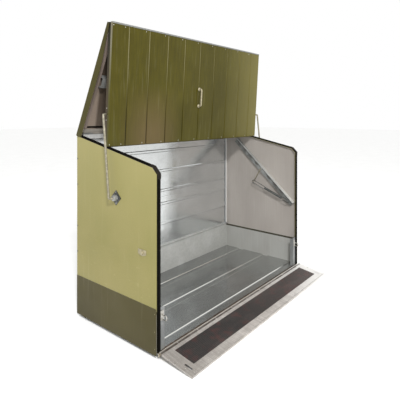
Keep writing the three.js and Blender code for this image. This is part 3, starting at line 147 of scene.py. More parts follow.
@dataclass
class Graph:
    """A material's node tree: its shader, its Object coordinates and its colour so far."""

    name: str
    material: bpy.types.Material = field(init=False)
    tree: bpy.types.NodeTree = field(init=False)
    shader: bpy.types.Node = field(init=False)
    where: bpy.types.NodeSocket = field(init=False)
    across: bpy.types.NodeSocket = field(init=False)
    back: bpy.types.NodeSocket = field(init=False)
    up: bpy.types.NodeSocket = field(init=False)
    colour: Any = field(init=False, default=None)

    def __post_init__(self) -> None:
        """Starts the material with a Principled shader."""
        self.material = bpy.data.materials.new(self.name)
        self.material.use_nodes = True
        self.tree = self.material.node_tree
        self.tree.nodes.clear()
        self.shader = self.node("BsdfPrincipled")
        self.node("OutputMaterial", {"Surface": self.shader.outputs[0]})
        self.where = self.node("TexCoord").outputs["Object"]
        parts = self.node("SeparateXYZ", {0: self.where})
        self.across, self.back, self.up = parts.outputs[0], parts.outputs[1], parts.outputs[2]

    def node(self, kind: str, inputs: dict[Any, Any] | None = None, **settings: Any) -> Any:
        """Adds a node to this tree; see add_node."""
        return add_node(self.tree, kind, inputs, **settings)

    def maths(self, operation: str, first: Any, second: Any = 0.0) -> Any:
        """Joins two numbers by an operation and gives the value socket."""
        return self.node("Math", {0: first, 1: second}, operation=operation).outputs[0]

    def minus(self, first: Any, second: Any) -> Any:
        """Gives the first number less the second."""
        return self.maths("SUBTRACT", first, second)

    def both(self, first: Any, second: Any) -> Any:
        """Gives the product of two masks."""
        return self.maths("MULTIPLY", first, second)

    def band(self, value: Any, low: float, high: float) -> Any:
        """Gives 1 where a value lies between low and high, and 0 elsewhere."""
        above = self.maths("GREATER_THAN", value, low)
        return self.both(above, self.maths("LESS_THAN", value, high))

    def ramp(self, value: Any, low: float, high: float, start: float, end: float) -> Any:
        """Maps a value from low..high onto start..end, held at both ends."""
        inputs = {"Value": value, "From Min": low, "From Max": high, "To Min": start, "To Max": end}
        return self.node("MapRange", inputs).outputs[0]

    def mix(self, share: Any, first: Any, second: Any, blend: str = "MIX") -> Any:
        """Mixes two colours by a share and gives the colour socket."""
        inputs = {0: share, 6: first, 7: second}
        return self.node("Mix", inputs, data_type="RGBA", blend_type=blend).outputs[2]

    def blend(self, share: Any, first: Any, second: Any) -> Any:
        """Mixes two numbers by a share and gives the value socket."""
        inputs = {0: share, 2: first, 3: second}
        return self.node("Mix", inputs, data_type="FLOAT").outputs[0]

    def start(self, share: Any, first: str, second: str) -> None:
        """Starts the colour as two hex colours mixed by a share."""
        self.colour = self.mix(share, linear(first), linear(second))

    def over(self, share: Any, hex_colour: str) -> None:
        """Lays a hex colour over the colour so far, by a share."""
        self.colour = self.mix(share, self.colour, linear(hex_colour))

    def shade(self, tone: Any) -> None:
        """Multiplies the colour so far by a tone about 1."""
        self.colour = self.mix(1.0, self.colour, tone, "MULTIPLY")

    def noise(self, size: float, detail: float, stretch: tuple = UNSTRETCHED) -> Any:
        """Gives a 0 to 1 cloud whose patches are about size metres across.

        Args:
            size: the size of a patch in metres.
            detail: how many finer layers are added.
            stretch: how many times longer a patch is along each axis.

        Returns:
            The cloud's value socket.
        """
        scale = tuple(1.0 / value for value in stretch)
        vector = self.node("Mapping", {"Vector": self.where, "Scale": scale}).outputs[0]
        cloud = self.node("TexNoise", {"Vector": vector, "Scale": 1.0 / size, "Detail": detail})
        return cloud.outputs[0]

    def patches(self, size: float, detail: float, span: tuple, stretch: tuple = UNSTRETCHED) -> Any:
        """Maps a cloud by span, which holds ramp's low, high, start and end; see noise."""
        return self.ramp(self.noise(size, detail, stretch), *span)

    def two_tone(self, first: str, second: str, size: float, detail: float,
                 span: tuple = (0.35, 0.7, 0.0, 1.0), stretch: tuple = UNSTRETCHED) -> None:
        """Starts the colour as one hex colour clouded with another; see patches."""
        self.start(self.patches(size, detail, span, stretch), first, second)

    def grains(self, size: float) -> tuple[Any, Any]:
        """Gives grains about size metres across.

        Args:
            size: the size of a grain in metres.

        Returns:
            A tone that differs from grain to grain, and the distance from a grain's middle.
        """
        cells = self.node("TexVoronoi", {"Vector": self.where, "Scale": 1.0 / size})
        tone = self.node("SeparateColor", {0: cells.outputs["Color"]}).outputs[0]
        return tone, cells.outputs["Distance"]

    def off_middle(self) -> Any:
        """Gives the distance along X from the locker's middle."""
        return self.maths("ABSOLUTE", self.across)

    def off_lines(self, pitch: float) -> Any:
        """Gives the distance along X from the nearest of the lines that stand a pitch apart."""
        return self.maths("PINGPONG", self.across, pitch / 2.0)

    def dashes(self, rear: float, front: float) -> Any:
        """Draws a line of painted shadow across the locker, broken once in each groove pitch.

        Args:
            rear: the line's rear edge on Y.
            front: its front edge on Y.

        Returns:
            The mask of the line.
        """
        dash = self.band(self.off_lines(GROOVE_PITCH), 3 * MM, 1.0)
        patchy = self.patches(0.06, 4.0, (0.35, 0.6, 0.7, 1.0))
        return self.both(self.both(dash, patchy), self.band(self.back, front, rear))

    def weighted(self, back: float, up: float) -> Any:
        """Gives back * Y + up * Z: the distance along a direction square to X."""
        return self.maths("ADD", self.both(self.back, back), self.both(self.up, up))

    def feed(self, **sockets: Any) -> None:
        """Gives the shader its inputs; underscores in their names stand for spaces."""
        for key, value in sockets.items():
            connect(self.tree, self.shader.inputs[key.replace("_", " ")], value)

    def bump(self, *layers: tuple[Any, float]) -> None:
        """Stacks bump layers on the shader's normal.

        Args:
            layers: pairs of a height socket and its depth in metres.
        """
        stacked: dict[str, Any] = {}
        for height, depth in layers:
            inputs = {"Height": height, "Distance": depth, "Strength": 1.0} | stacked
            stacked = {"Normal": self.node("Bump", inputs).outputs[0]}
        self.feed(**stacked)


# ---------------------------------------------------------------- finishes


@dataclass(frozen=True)
class Coating:
    """What every finish shares: a named material, whose nodes each finish lays itself."""

    name: str

    def build(self) -> bpy.types.Material:
        """Makes the finish.

        Returns:
            The material, with the colour that the finish ends with.
        """
        graph = Graph(self.name)
        self.lay(graph)
        graph.feed(Base_Color=graph.colour)
        return graph.material

    def lay(self, graph: Graph) -> None:
        """Lays the nodes of the finish in its material."""
        raise NotImplementedError


@dataclass(frozen=True)
class BackCoat:
    """The thin grey back coat on the hidden face of coated sheet: flat, smooth and chalky."""

    base: str
    tint: str
    rough: float = 0.42

    def lay(self, graph: Graph) -> Any:
        """Starts the colour anew with roller clouds, scuffs and streaks.

        Args:
            graph: the material that takes the nodes.

        Returns:
            The roughness socket.
        """
        graph.two_tone(self.base, self.tint, 0.25, 3.0, (0.35, 0.65, 0.0, 1.0), (1.0, 1.0, 2.5))
        # Rubbed patches where things lean on the wall, some 5 cm across.
        graph.over(graph.patches(0.05, 7.0, (0.6, 0.74, 0.0, 0.22), (1.0, 2.0, 1.0)), "8b8680")
        graph.over(graph.patches(0.006, 2.0, (0.5, 0.8, 0.0, 0.06), (1.0, 1.0, 60.0)), "f0eee8")
        return graph.patches(0.05, 4.0, (0.3, 0.7, self.rough - 0.06, self.rough + 0.1))


@dataclass(frozen=True)
class CoatedSheet(Coating):
    """Polyester powder-coated steel sheet: an even satin colour over a faint orange peel."""

    base: str
    tint: str
    gloss: float = 0.36
    grime: str = "4a452f"
    shine: float = 0.3
    lining: BackCoat | None = None

    def inside(self, graph: Graph) -> Any:
        """Gives 1 where the sheet shows its back coat; plain sheet has none."""
        return 0.0

    def marks(self, graph: Graph) -> None:
        """Adds the piece's own wear to the outer colour; plain sheet has none."""

    def inner_marks(self, graph: Graph) -> None:
        """Adds the piece's own wear to the back coat; plain sheet has none."""

    def lay(self, graph: Graph) -> None:
        """Lays soft colour drift, fine peel, dust low down, runs and the back coat.

        Args:
            graph: the material that takes the nodes.
        """
        graph.two_tone(self.base, self.tint, 0.35, 2.0, (0.35, 0.65, 0.0, 1.0))
        # Speckle of the powder is about 0.5 mm; drawn at 3 mm so that it shows.
        graph.shade(graph.patches(0.003, 1.0, (0.3, 0.7, 0.93, 1.07)))
        # Dust and splashes thicken towards the ground.
        low = graph.ramp(graph.up, 0.02, 0.22, 0.3, 0.0)
        graph.over(graph.both(low, graph.noise(0.05, 5.0, (1.0, 1.0, 0.6))), self.grime)
        # Faint runs where rain has dried, long in the vertical.
        graph.over(graph.patches(0.02, 3.0, (0.6, 0.76, 0.0, 0.04), (1.0, 1.0, 20.0)), "d8d2b4")
        self.marks(graph)
        rough = graph.patches(0.12, 4.0, (0.3, 0.7, self.gloss - 0.05, self.gloss + 0.08))
        if self.lining is not None:
            hidden, outer = self.inside(graph), graph.colour
            rough = graph.blend(hidden, rough, self.lining.lay(graph))
            self.inner_marks(graph)
            graph.colour = graph.mix(hidden, outer, graph.colour)
        graph.feed(Roughness=rough, Metallic=0.0, IOR=1.5, Specular_IOR_Level=self.shine)
        # Hand-sized oil canning, and orange peel some 4 hundredths of a millimetre deep.
        graph.bump((graph.noise(0.35, 1.0), 0.0011), (graph.noise(0.002, 1.0), 0.00004))


@dataclass(frozen=True)
class WallCoat(CoatedSheet):
    """Side wall: light coat outside, back coat inside behind the folded front edge."""

    inner_half: Pair = (923 * MM, 924.25 * MM)
    front_fold: float = -394.5 * MM

    def inside(self, graph: Graph) -> Any:
        """Gives 1 on the inner half of the wall's 1.5 mm, behind its front fold."""
        return graph.both(graph.band(graph.off_middle(), *self.inner_half),
                          graph.band(graph.back, self.front_fold, 1.0))

    def marks(self, graph: Graph) -> None:
        """Pales the wall towards its top, and scuffs it where shoes and wheels touch.

        Args:
            graph: the material that takes the nodes.
        """
        graph.over(graph.ramp(graph.up, 0.6, 1.25, 0.0, 0.55), "989160")
        scuff = graph.patches(0.018, 6.0, (0.66, 0.76, 0.0, 0.1), (1.0, 3.0, 1.0))
        low = graph.ramp(graph.up, 0.3, 0.8, 1.0, 0.1)
        graph.over(graph.both(scuff, low), "d9d3a6")


@dataclass(frozen=True)
class SkirtCoat(CoatedSheet):
    """Kick sheet: dark coat outside, bare zinc-grey face inside with a painted shadow on its lap.
    """

    inner_half: Pair = (924.5 * MM, 925.75 * MM)
    lap: Pair = (266 * MM, 283.2 * MM)

    def inside(self, graph: Graph) -> Any:
        """Gives 1 on the inner half of the kick sheet's 1.5 mm."""
        return graph.band(graph.off_middle(), *self.inner_half)

    def inner_marks(self, graph: Graph) -> None:
        """Paints shade on the lap that runs just under the wall's lower edge."""
        # Painted shadow under the wall's lower edge.
        graph.over(graph.band(graph.up, *self.lap), "3c3a30")


@dataclass(frozen=True)
class RoofCoat(CoatedSheet):
    """Roof sheet: dark coat on top, brownish back coat under it."""

    reach: Pair = (0.9037, 0.4281)
    level: float = 937.08 * MM
    flange_middle: float = 928.25 * MM
    hinge_level: float = 1018 * MM
    margin: float = 779 * MM
    narrowing: float = 0.18

    def inside(self, graph: Graph) -> Any:
        """Gives 1 under the roof: the distance along its normal is less than mid sheet."""
        under = graph.band(graph.weighted(*self.reach), -9.0, self.level)
        return graph.both(under, graph.band(graph.off_middle(), -1.0, self.flange_middle))

    def inner_marks(self, graph: Graph) -> None:
        """Paints the door's shadow on the middle of the back coat, and darkens it with painted
        shade towards the door's hinge.

        The pale margins narrow forward: they start 779 mm from the middle, plus 0.18 mm for each
        millimetre from the rear hinge.

        Args:
            graph: the material that takes the nodes.
        """
        run = graph.weighted(-self.reach[1], self.reach[0])
        along = graph.minus(run, self.hinge_level)
        edge = graph.maths("ADD", graph.both(along, self.narrowing), self.margin)
        inward = graph.minus(edge, graph.off_middle())
        # Painted shadow of the door: brown in the middle, pale at the margins.
        graph.over(graph.ramp(inward, -0.006, 0.014, 0.0, 0.8), "43382d")
        # Painted shade, darker towards the door's hinge.
        graph.over(graph.ramp(along, 0.3, 0.6, 0.0, 0.9), "241e17")


@dataclass(frozen=True)
class DoorCoat(CoatedSheet):
    """Door sheet: dark coat on the grooved face, back coat behind it, pale folded sides."""

    out: Pair = (-0.99803, -0.06279)
    out_level: float = -172.975 * MM
    drop: Pair = (0.06279, -0.99803)
    drop_level: float = -2075.88 * MM
    side_middle: float = 924.25 * MM
    groove_sides: Pair = (3.5 * MM, 7 * MM)
    face_levels: Pair = (35 * MM, 41 * MM)
    half_sheet: float = 0.75 * MM
    lined_drops: Pair = (7.75 * MM, 837.25 * MM)
    highlight_half: float = 4.6 * MM
    groove_shade_half: float = 4.5 * MM
    root_out: float = 24 * MM
    haze_middle: float = -530 * MM

    def depths(self, graph: Graph) -> tuple[Any, Any, Any]:
        """Measures where a point is in the door.

        Args:
            graph: the material that takes the nodes.

        Returns:
            The distance out of the pivot plane, the drop below it, and the way from a groove.
        """
        out = graph.minus(graph.weighted(*self.out), self.out_level)
        drop = graph.minus(graph.weighted(*self.drop), self.drop_level)
        return out, drop, graph.off_lines(GROOVE_PITCH)

    def inside(self, graph: Graph) -> Any:
        """Masks the back of the face: nearer the pivot plane than the middle of the sheet.

        Args:
            graph: the material that takes the nodes.

        Returns:
            The mask, 1 where the back coat shows.
        """
        out, drop, off = self.depths(graph)
        face = graph.ramp(off, *self.groove_sides, *self.face_levels)
        behind = graph.maths("LESS_THAN", out, graph.minus(face, self.half_sheet))
        width = graph.band(graph.off_middle(), -1.0, self.side_middle)
        return graph.both(behind, graph.both(width, graph.band(drop, *self.lined_drops)))

    def marks(self, graph: Graph) -> None:
        """Adds painted highlight and shade in the grooves, a painted sheen on the right, brown haze
        low on the left and the pale side folds.

        Args:
            graph: the material that takes the nodes.
        """
        out, drop, off = self.depths(graph)
        # Rolling leaves faint upright bands, a few millimetres wide.
        graph.shade(graph.patches(0.009, 3.0, (0.3, 0.7, 0.86, 1.14), (1.0, 1.0, 90.0)))
        # Painted sheen lightens the right-hand end.
        graph.over(graph.ramp(graph.across, 0.35, 0.92, 0.0, 0.5), "7d7541")
        off_haze = graph.maths("ABSOLUTE", graph.minus(graph.across, self.haze_middle))
        haze = graph.both(graph.ramp(drop, 0.4, 0.75, 0.0, 0.65),
                          graph.ramp(off_haze, 0.05, 0.32, 1.0, 0.0))
        graph.over(haze, "5e4e35")
        # Painted highlight in the grooves' upper half and painted shade in their lower half, both
        # strongest on the left.
        groove_highlight = graph.both(graph.band(off, -1.0, self.highlight_half),
                            graph.ramp(graph.across, -0.1, 0.7, 1.0, 0.25))
        graph.over(graph.both(groove_highlight, graph.ramp(drop, 0.2, 0.6, 0.7, 0.0)), "7c7658")
        groove_shade = graph.both(graph.band(off, -1.0, self.groove_shade_half),
                            graph.ramp(graph.across, -0.45, 0.15, 1.0, 0.2))
        graph.over(graph.both(groove_shade, graph.ramp(drop, 0.4, 0.7, 0.0, 0.75)), "14130a")
        # The folded side is paler above and green below; painted shadow darkens its root, near
        # black above.
        low = graph.ramp(drop, 0.15, 0.5, 0.0, 1.0)
        edge = graph.mix(low, linear("746f5e"), linear("46431a"))
        root = graph.mix(low, linear("0f0d09"), linear("3d3328"))
        fold = graph.mix(graph.band(out, -1.0, self.root_out), edge, root)
        side = graph.band(graph.off_middle(), self.side_middle, 1.0)
        graph.colour = graph.mix(graph.both(side, 0.85), graph.colour, fold)


@dataclass(frozen=True)
class SpangledZinc(Coating):
    """Hot-dip galvanised sheet: dull silver with crystal spangles and a white bloom."""

    light: str
    dark: str
    rough: float = 0.34
    spangle: float = 0.012
    metallic: float = 0.5
    mottle: float = 1.0

    def marks(self, graph: Graph) -> None:
        """Adds the piece's own wear to the zinc; plain sheet has none."""

    def lay(self, graph: Graph) -> None:
        """Lays spangles that differ in tone, a bloom and wiped smudges.

        Args:
            graph: the material that takes the nodes.
        """
        tone, _ = graph.grains(self.spangle)
        wide, fine = 0.35 * self.mottle, 0.2 * self.mottle
        cloud = graph.patches(0.3, 4.0, (0.3, 0.7, -wide, wide), (2.5, 1.0, 1.0))
        share = graph.maths("ADD", graph.ramp(tone, 0.0, 1.0, 0.5 - fine, 0.5 + fine), cloud)
        graph.start(share, self.dark, self.light)
        graph.over(graph.patches(0.16, 6.0, (0.5, 0.75, 0.0, 0.3 * self.mottle)), "dcdedd")
        # Wiped smudges, longer across than high.
        smudge = graph.patches(0.05, 4.0, (0.55, 0.8, 0.0, 0.25 * self.mottle), (5.0, 1.0, 1.0))
        graph.over(smudge, self.dark)
        self.marks(graph)
        rough = graph.patches(0.09, 3.0, (0.3, 0.7, self.rough - 0.04, self.rough + 0.07))
        graph.feed(Roughness=rough, Metallic=self.metallic)
        graph.bump((graph.noise(0.26, 0.0), 0.0012))


@dataclass(frozen=True)
class FloorZinc(SpangledZinc):
    """Floor sheet: polished by tyres, with painted light towards its right end, and a painted
    shadow line and a painted highlight line by the ramp's hinge.
    """

    ridges: tuple[Pair, ...] = (
        (-344 * MM, -339.5 * MM), (-103.5 * MM, -98 * MM), (-42 * MM, -37.5 * MM),
        (186 * MM, 191.5 * MM), (247.5 * MM, 252 * MM))
    hinge_shade: Pair = (-402.5 * MM, -416.5 * MM)
    cream: Pair = (-430 * MM, -417.5 * MM)

    def marks(self, graph: Graph) -> None:
        """Adds painted light towards the right, paler lines at the swages, and the painted shadow
        dashes and painted highlight line at the front edge.

        Args:
            graph: the material that takes the nodes.
        """
        # Painted light: the floor is lightened towards its right end.
        graph.over(graph.ramp(graph.across, 0.2, 0.9, 0.0, 0.45), "d0d0cd")
        for ridge in self.ridges:
            graph.over(graph.band(graph.back, *ridge), "d6d6d0")
        # Painted shadow of the gap under the ramp's hinge, in dashes.
        graph.over(graph.dashes(*self.hinge_shade), "5a4332")
        # Painted highlight: a cream line along the floor's front edge, by the hinge's knuckles.
        graph.over(graph.band(graph.back, *self.cream), "fff3dc")


@dataclass(frozen=True)
class ChannelZinc(SpangledZinc):
    """Slanted channel: a painted highlight on its ridge over a painted shadow line, along its whole
    run.
    """

    across_run: Pair = (-0.6778, 0.7352)
    level: float = 696.04 * MM
    ridge: Pair = (14 * MM, 30 * MM)
    shadow: Pair = (6 * MM, 14 * MM)

    def marks(self, graph: Graph) -> None:
        """Adds the painted highlight on the ridge and the painted shadow line by the distance from
        the channel's middle line.

        Args:
            graph: the material that takes the nodes.
        """
        off = graph.minus(graph.weighted(*self.across_run), self.level)
        # Painted highlight on the upper edge, stronger lower down, with a painted shadow line under
        # it.
        lower = graph.ramp(graph.up, 0.62, 1.02, 1.0, 0.25)
        graph.over(graph.both(graph.band(off, *self.ridge), lower), "e4e4e0")
        graph.over(graph.both(graph.band(off, *self.shadow), 0.75), "4c4d4b")


@dataclass(frozen=True)
class PostCoat(Coating):
    """Corner angle: dull zinc on the back leg, back coat on the side leg, a painted highlight on
    the bend.
    """

    zinc: str
    lining: BackCoat
    bend: float = 920.5 * MM
    bend_width: float = 8 * MM

    def lay(self, graph: Graph) -> None:
        """Lays both legs, split at the bend by the distance from the middle.

        Args:
            graph: the material that takes the nodes.
        """
        off = graph.off_middle()
        graph.feed(Roughness=self.lining.lay(graph), Metallic=0.25)
        side = graph.colour
        graph.two_tone(self.zinc, "a6a8a8", 0.05, 4.0, stretch=(1.0, 1.0, 4.0))
        graph.colour = graph.mix(graph.band(off, self.bend, 1.0), graph.colour, side)
        # Painted highlight along the bend.
        graph.over(graph.band(off, self.bend - self.bend_width, self.bend + 0.5 * MM), "e3e2dd")
        graph.bump((graph.noise(0.004, 2.0), 0.00003))


@dataclass(frozen=True)
class FoamRubber(Coating):
    """Closed-cell rubber strip: deep matt black with a cellular skin and dusty shoulders."""

    base: str = "060503"
    dust: str = "16140e"
    cell: float = 1.4 * MM

    def lay(self, graph: Graph) -> None:
        """Lays cells of about 1 mm, and dust in patches.

        Args:
            graph: the material that takes the nodes.
        """
        graph.two_tone(self.base, self.dust, 0.02, 6.0, (0.45, 0.75, 0.0, 0.5))
        graph.feed(Roughness=0.8, IOR=1.5, Metallic=0.0, Specular_IOR_Level=0.08)
        _, depth = graph.grains(self.cell)
        graph.bump((depth, 0.0002), (graph.noise(0.03, 1.0), 0.0006))


@dataclass(frozen=True)
class PlatedSteel(Coating):
    """Zinc-plated steel fittings: even metal with draw lines and dull finger marks."""

    base: str
    worn: str
    rough: float = 0.32
    metallic: float = 0.9

    def lay(self, graph: Graph) -> None:
        """Lays cloudy plating, fine scratches and darker grime patches.

        Args:
            graph: the material that takes the nodes.
        """
        graph.two_tone(self.base, self.worn, 0.018, 5.0)
        rough = graph.patches(0.008, 4.0, (0.3, 0.7, self.rough - 0.06, self.rough + 0.14))
        graph.feed(Roughness=rough, Metallic=self.metallic)
        graph.bump((graph.noise(0.0015, 2.0, (8.0, 1.0, 1.0)), 0.00004))


@dataclass(frozen=True)
class ShadedHinge(Coating):
    """Plated piano hinge: cream knuckles, and leaves with painted shadow in brown dashes between
    screws.
    """

    base: str = "f4e6cc"
    worn: str = "cdbfa4"
    hinge_shade: str = "5b4030"
    axis_back: float = -431 * MM
    dash_pitch: float = 24 * MM
    gap_half: float = 2.5 * MM
    shade_run: Pair = (6.2 * MM, 16.5 * MM)

    def lay(self, graph: Graph) -> None:
        """Lays painted shadow in dashes 24 mm apart on both leaves, 6 to 16 mm from the knuckles'
        axis.

        Args:
            graph: the material that takes the nodes.
        """
        graph.two_tone(self.base, self.worn, 0.02, 4.0)
        away = graph.maths("ABSOLUTE", graph.minus(graph.back, self.axis_back))
        dash = graph.band(graph.off_lines(self.dash_pitch), self.gap_half, 1.0)
        mask = graph.both(dash, graph.band(away, *self.shade_run))
        # Painted shadow of the gap under the knuckles.
        graph.over(graph.both(mask, 0.85), self.hinge_shade)
        graph.feed(Roughness=graph.patches(0.008, 4.0, (0.3, 0.7, 0.32, 0.52)), Metallic=0.4)
        graph.bump((graph.noise(0.002, 2.0, (8.0, 1.0, 1.0)), 0.00004))


@dataclass(frozen=True)
class GritTread(Coating):
    """Mineral-grit anti-slip tread: brown-black, sparkling and rough, scuffed paler in use."""

    base: str = "161312"
    scuffed: str = "302a26"
    rust: str = "4c2521"
    grit: float = 3 * MM

    def lay(self, graph: Graph) -> None:
        """Lays grit drawn at 3 mm so that it shows, rust tints, wear, and a paler far end.

        Args:
            graph: the material that takes the nodes.
        """
        tone, depth = graph.grains(self.grit)
        graph.start(graph.ramp(tone, 0.2, 1.0, 0.0, 0.8), self.base, self.scuffed)
        graph.over(graph.patches(0.05, 4.0, (0.5, 0.7, 0.0, 0.6)), self.rust)
        graph.over(graph.patches(0.12, 5.0, (0.5, 0.75, 0.0, 0.3), (4.0, 1.0, 1.0)), "675f59")
        graph.over(graph.ramp(graph.across, -0.3, 0.85, 0.0, 0.3), "6a5c57")
        graph.feed(Roughness=0.62, IOR=1.5, Metallic=0.0)
        graph.bump((depth, 0.0006))


@dataclass(frozen=True)
class ScuffedRamp(Coating):
    """Mill-finish metal sheet that is walked and wheeled on: pale, with scratches across."""

    base: str = "c7c1bb"
    dark: str = "918a84"
    hinge_shade: Pair = (-438.5 * MM, -452.5 * MM)
    lip: Pair = (-680 * MM, -676.5 * MM)

    def lay(self, graph: Graph) -> None:
        """Lays grey smears along the ramp, drag lines across it, painted shadow by the hinge, a
        darker near end and a painted reflection at the far end.

        Args:
            graph: the material that takes the nodes.
        """
        graph.two_tone(self.base, self.dark, 0.03, 6.0, (0.4, 0.75, 0.0, 0.6), (3.0, 1.0, 1.0))
        # Tyres and boots drag grit over it, front to back, in lines some 5 mm wide.
        graph.over(graph.patches(0.005, 3.0, (0.4, 0.65, 0.0, 0.6), (1.0, 40.0, 40.0)), "817a74")
        # Darker towards the near end, and a painted reflection that lightens the far end.
        graph.over(graph.ramp(graph.across, -0.95, -0.3, 0.62, 0.0), "79746e")
        graph.over(graph.ramp(graph.across, 0.2, 0.9, 0.0, 0.7), "eeede9")
        graph.over(graph.patches(0.006, 2.0, (0.62, 0.7, 0.0, 0.4)), "e9e8e4")
        # Painted shadow of the gap under the hinge, in dashes.
        graph.over(graph.dashes(*self.hinge_shade), "3f352b")
        # The fold behind the front lip is darker, except at the near end.
        lip = graph.both(graph.band(graph.back, *self.lip),
                         graph.ramp(graph.across, -0.5, 0.1, 0.0, 0.7))
        graph.over(lip, "75726d")
        rough = graph.patches(0.05, 5.0, (0.3, 0.7, 0.26, 0.42))
        graph.feed(Roughness=rough, Metallic=0.25, Specular_IOR_Level=0.9)
        graph.bump((graph.noise(0.25, 1.0), 0.001))


@dataclass(frozen=True)
class StudioPaper(Coating):
    """Seamless paper under the locker: pale, flat and even, with a faint fibre mottling."""

    base: str = "f9f9f8"
    fibre: str = "fcfcfb"

    def lay(self, graph: Graph) -> None:
        """Lays the mottling in the paper's material."""
        graph.two_tone(self.base, self.fibre, 0.4, 2.0, (0.3, 0.7, 0.0, 1.0))
        graph.feed(Roughness=0.95, Metallic=0.0, Specular_IOR_Level=0.1)


WALL_BACK = BackCoat("9d9791", "938d87")
SKIRT_BACK = BackCoat("9e9e9a", "92918c")
FOLD_BACK = BackCoat("8f8172", "6f655a")
ROOF_BACK = BackCoat("998b7c", "8b7c6f")


class Finish(Enum):
    """Every finish on the locker."""

    PALE_PAINT = WallCoat("pale_olive_coat", "807a47", "88804e", 0.42, "6d6744", 0.3, WALL_BACK)
    DARK_PAINT = DoorCoat("dark_olive_coat", "3b3602", "423d06", 0.33, "3f3b20", 0.2, FOLD_BACK)
    ROOF_PAINT = RoofCoat("roof_olive_coat", "363106", "3e3909", 0.35, "3f3b20", 0.2, ROOF_BACK)
    SKIRT_PAINT = SkirtCoat("grey_olive_coat", "413b1d", "484224", 0.42, "48432f", 0.2, SKIRT_BACK)
    STUD_PAINT = CoatedSheet("painted_studs", "7b7558", "847d60", 0.4)
    ZINC = FloorZinc("galvanised_floor", "9ea09f", "868887", 0.19, 0.01, 0.85, 0.6)
    SHEET_ZINC = SpangledZinc("galvanised_kick", "b4b4b0", "9a9a95", 0.35, 0.012, 0.25)
    FITTING_ZINC = SpangledZinc("galvanised_fittings", "a3a4a1", "7a7b78", 0.32, 0.006, 0.5)
    CHANNEL_ZINC = ChannelZinc("galvanised_channel", "8c8d8a", "686966", 0.32, 0.006, 0.5)
    RAIL_ZINC = SpangledZinc("galvanised_rail", "eaeae8", "cfd0ce", 0.3, 0.014, 0.5)
    POST_ZINC = SpangledZinc("galvanised_stub", "858787", "717372", 0.35, 0.01, 0.3)
    PALE_ZINC = SpangledZinc("galvanised_back", "e6e8e8", "cacdcd", 0.17, 0.014, 0.9, 0.6)
    DARK_ZINC = SpangledZinc("dull_galvanised", "5f656b", "454a50", 0.45, 0.01)
    POST = PostCoat("galvanised_post", "b2b4b4", WALL_BACK)
    RIB = CoatedSheet("rib_coat", "a09b92", "918b82", 0.4, "6a645a", 0.3)
    ROOF_RIB = CoatedSheet("roof_rib_coat", "8d7f76", "7e7168", 0.45, "5b5148", 0.3)
    SEAL = FoamRubber("foam_rubber")
    CAP = FoamRubber("moulded_rubber", "1c1916", "35312a")
    BRIGHT = PlatedSteel("bright_plating", "c8c6c0", "9c9992", 0.3)
    SPRING = PlatedSteel("spring_wire", "696b69", "454745", 0.34, 0.7)
    EDGE = PlatedSteel("edge_strip", "8b8c8a", "6d6e6b", 0.45, 0.5)
    DARK_PLATE = PlatedSteel("dark_plating", "636564", "22241f", 0.4, 0.6)
    BOLT = PlatedSteel("painted_bolt", "4b4937", "2d2c22", 0.45, 0.2)
    CREAM = PlatedSteel("cream_plating", "a79e82", "837b64", 0.36, 0.35)
    RAIL = PlatedSteel("rod_plating", "98927f", "6f6a5b", 0.34, 0.5)
    HINGE_CREAM = ShadedHinge("hinge_plating")
    TREAD = GritTread("grit_tread")
    RAMP = ScuffedRamp("scuffed_sheet")


@dataclass
class Paints:
    """Builds each finish once and hands it out."""

    made: dict[Finish, bpy.types.Material] = field(default_factory=dict)

    def dress(self, obj: bpy.types.Object, finish: Finish) -> None:
        """Puts one finish on all of an object's slots; it is built on first use.

        Args:
            obj: the solid or new piece.
            finish: what it is dressed in.
        """
        if finish not in self.made:
            self.made[finish] = finish.value.build()
        obj.data.materials.clear()
        obj.data.materials.append(self.made[finish])


# ---------------------------------------------------------------- surfaces


def linked(name: str, data: Any) -> bpy.types.Object:
    """Makes an object and links it to the scene.

    Args:
        name: the object's name.
        data: its mesh, camera or light.

    Returns:
        The object, at the origin.
    """
    obj = bpy.data.objects.new(name, data)
    bpy.context.scene.collection.objects.link(obj)
    return obj


def signed_volume(mesh: bpy.types.Mesh) -> float:
    """Gives a closed mesh's volume, negative when its faces point inward.

    It is a sixth of the sum of a . (b x c) over the triangles a, b, c.

    Args:
        mesh: the closed mesh.

    Returns:
        The volume in cubic metres.
    """
    mesh.calc_loop_triangles()
    corners = np.empty(len(mesh.loop_triangles) * 3, dtype=np.int64)
    mesh.loop_triangles.foreach_get("vertices", corners)
    flat = np.empty(len(mesh.vertices) * 3)
    mesh.vertices.foreach_get("co", flat)
    triangles = flat.reshape(-1, 3)[corners.reshape(-1, 3)]
    crossed = np.cross(triangles[:, 1], triangles[:, 2])
    return float((triangles[:, 0] * crossed).sum() / 6.0)


def skin(name: str, stacks: list[np.ndarray], smooth: bool = True) -> bpy.types.Object:
    """Skins stacks of rings, each one a closed form with flat ends, and turns the faces outward.

    A quad joins corners j and j + 1 of ring i to the same corners of ring i + 1.

    Args:
        name: the piece's name.
        stacks: arrays of rings by corners by 3, which all turn the same way about their runs.
        smooth: whether the faces are shaded smooth.

    Returns:
        The new object, linked to the scene and sitting at the origin.
    """
    faces: list[list[int]] = []
    first = 0
    for stack in stacks:
        number = first + np.arange(stack[..., 0].size).reshape(stack.shape[:2])
        following = np.roll(number, -1, axis=1)
        quads = np.stack([number[:-1], following[:-1], following[1:], number[1:]], axis=-1)
        faces += quads.reshape(-1, 4).tolist() + [number[0, ::-1].tolist(), number[-1].tolist()]
        first += number.size
    points = np.concatenate([stack.reshape(-1, 3) for stack in stacks])
    mesh = bpy.data.meshes.new(name)
    mesh.from_pydata(points.tolist(), [], faces)
    mesh.polygons.foreach_set("use_smooth", np.full(len(faces), smooth))
    mesh.update()
    if signed_volume(mesh) < 0.0:
        mesh.flip_normals()
    return linked(name, mesh)


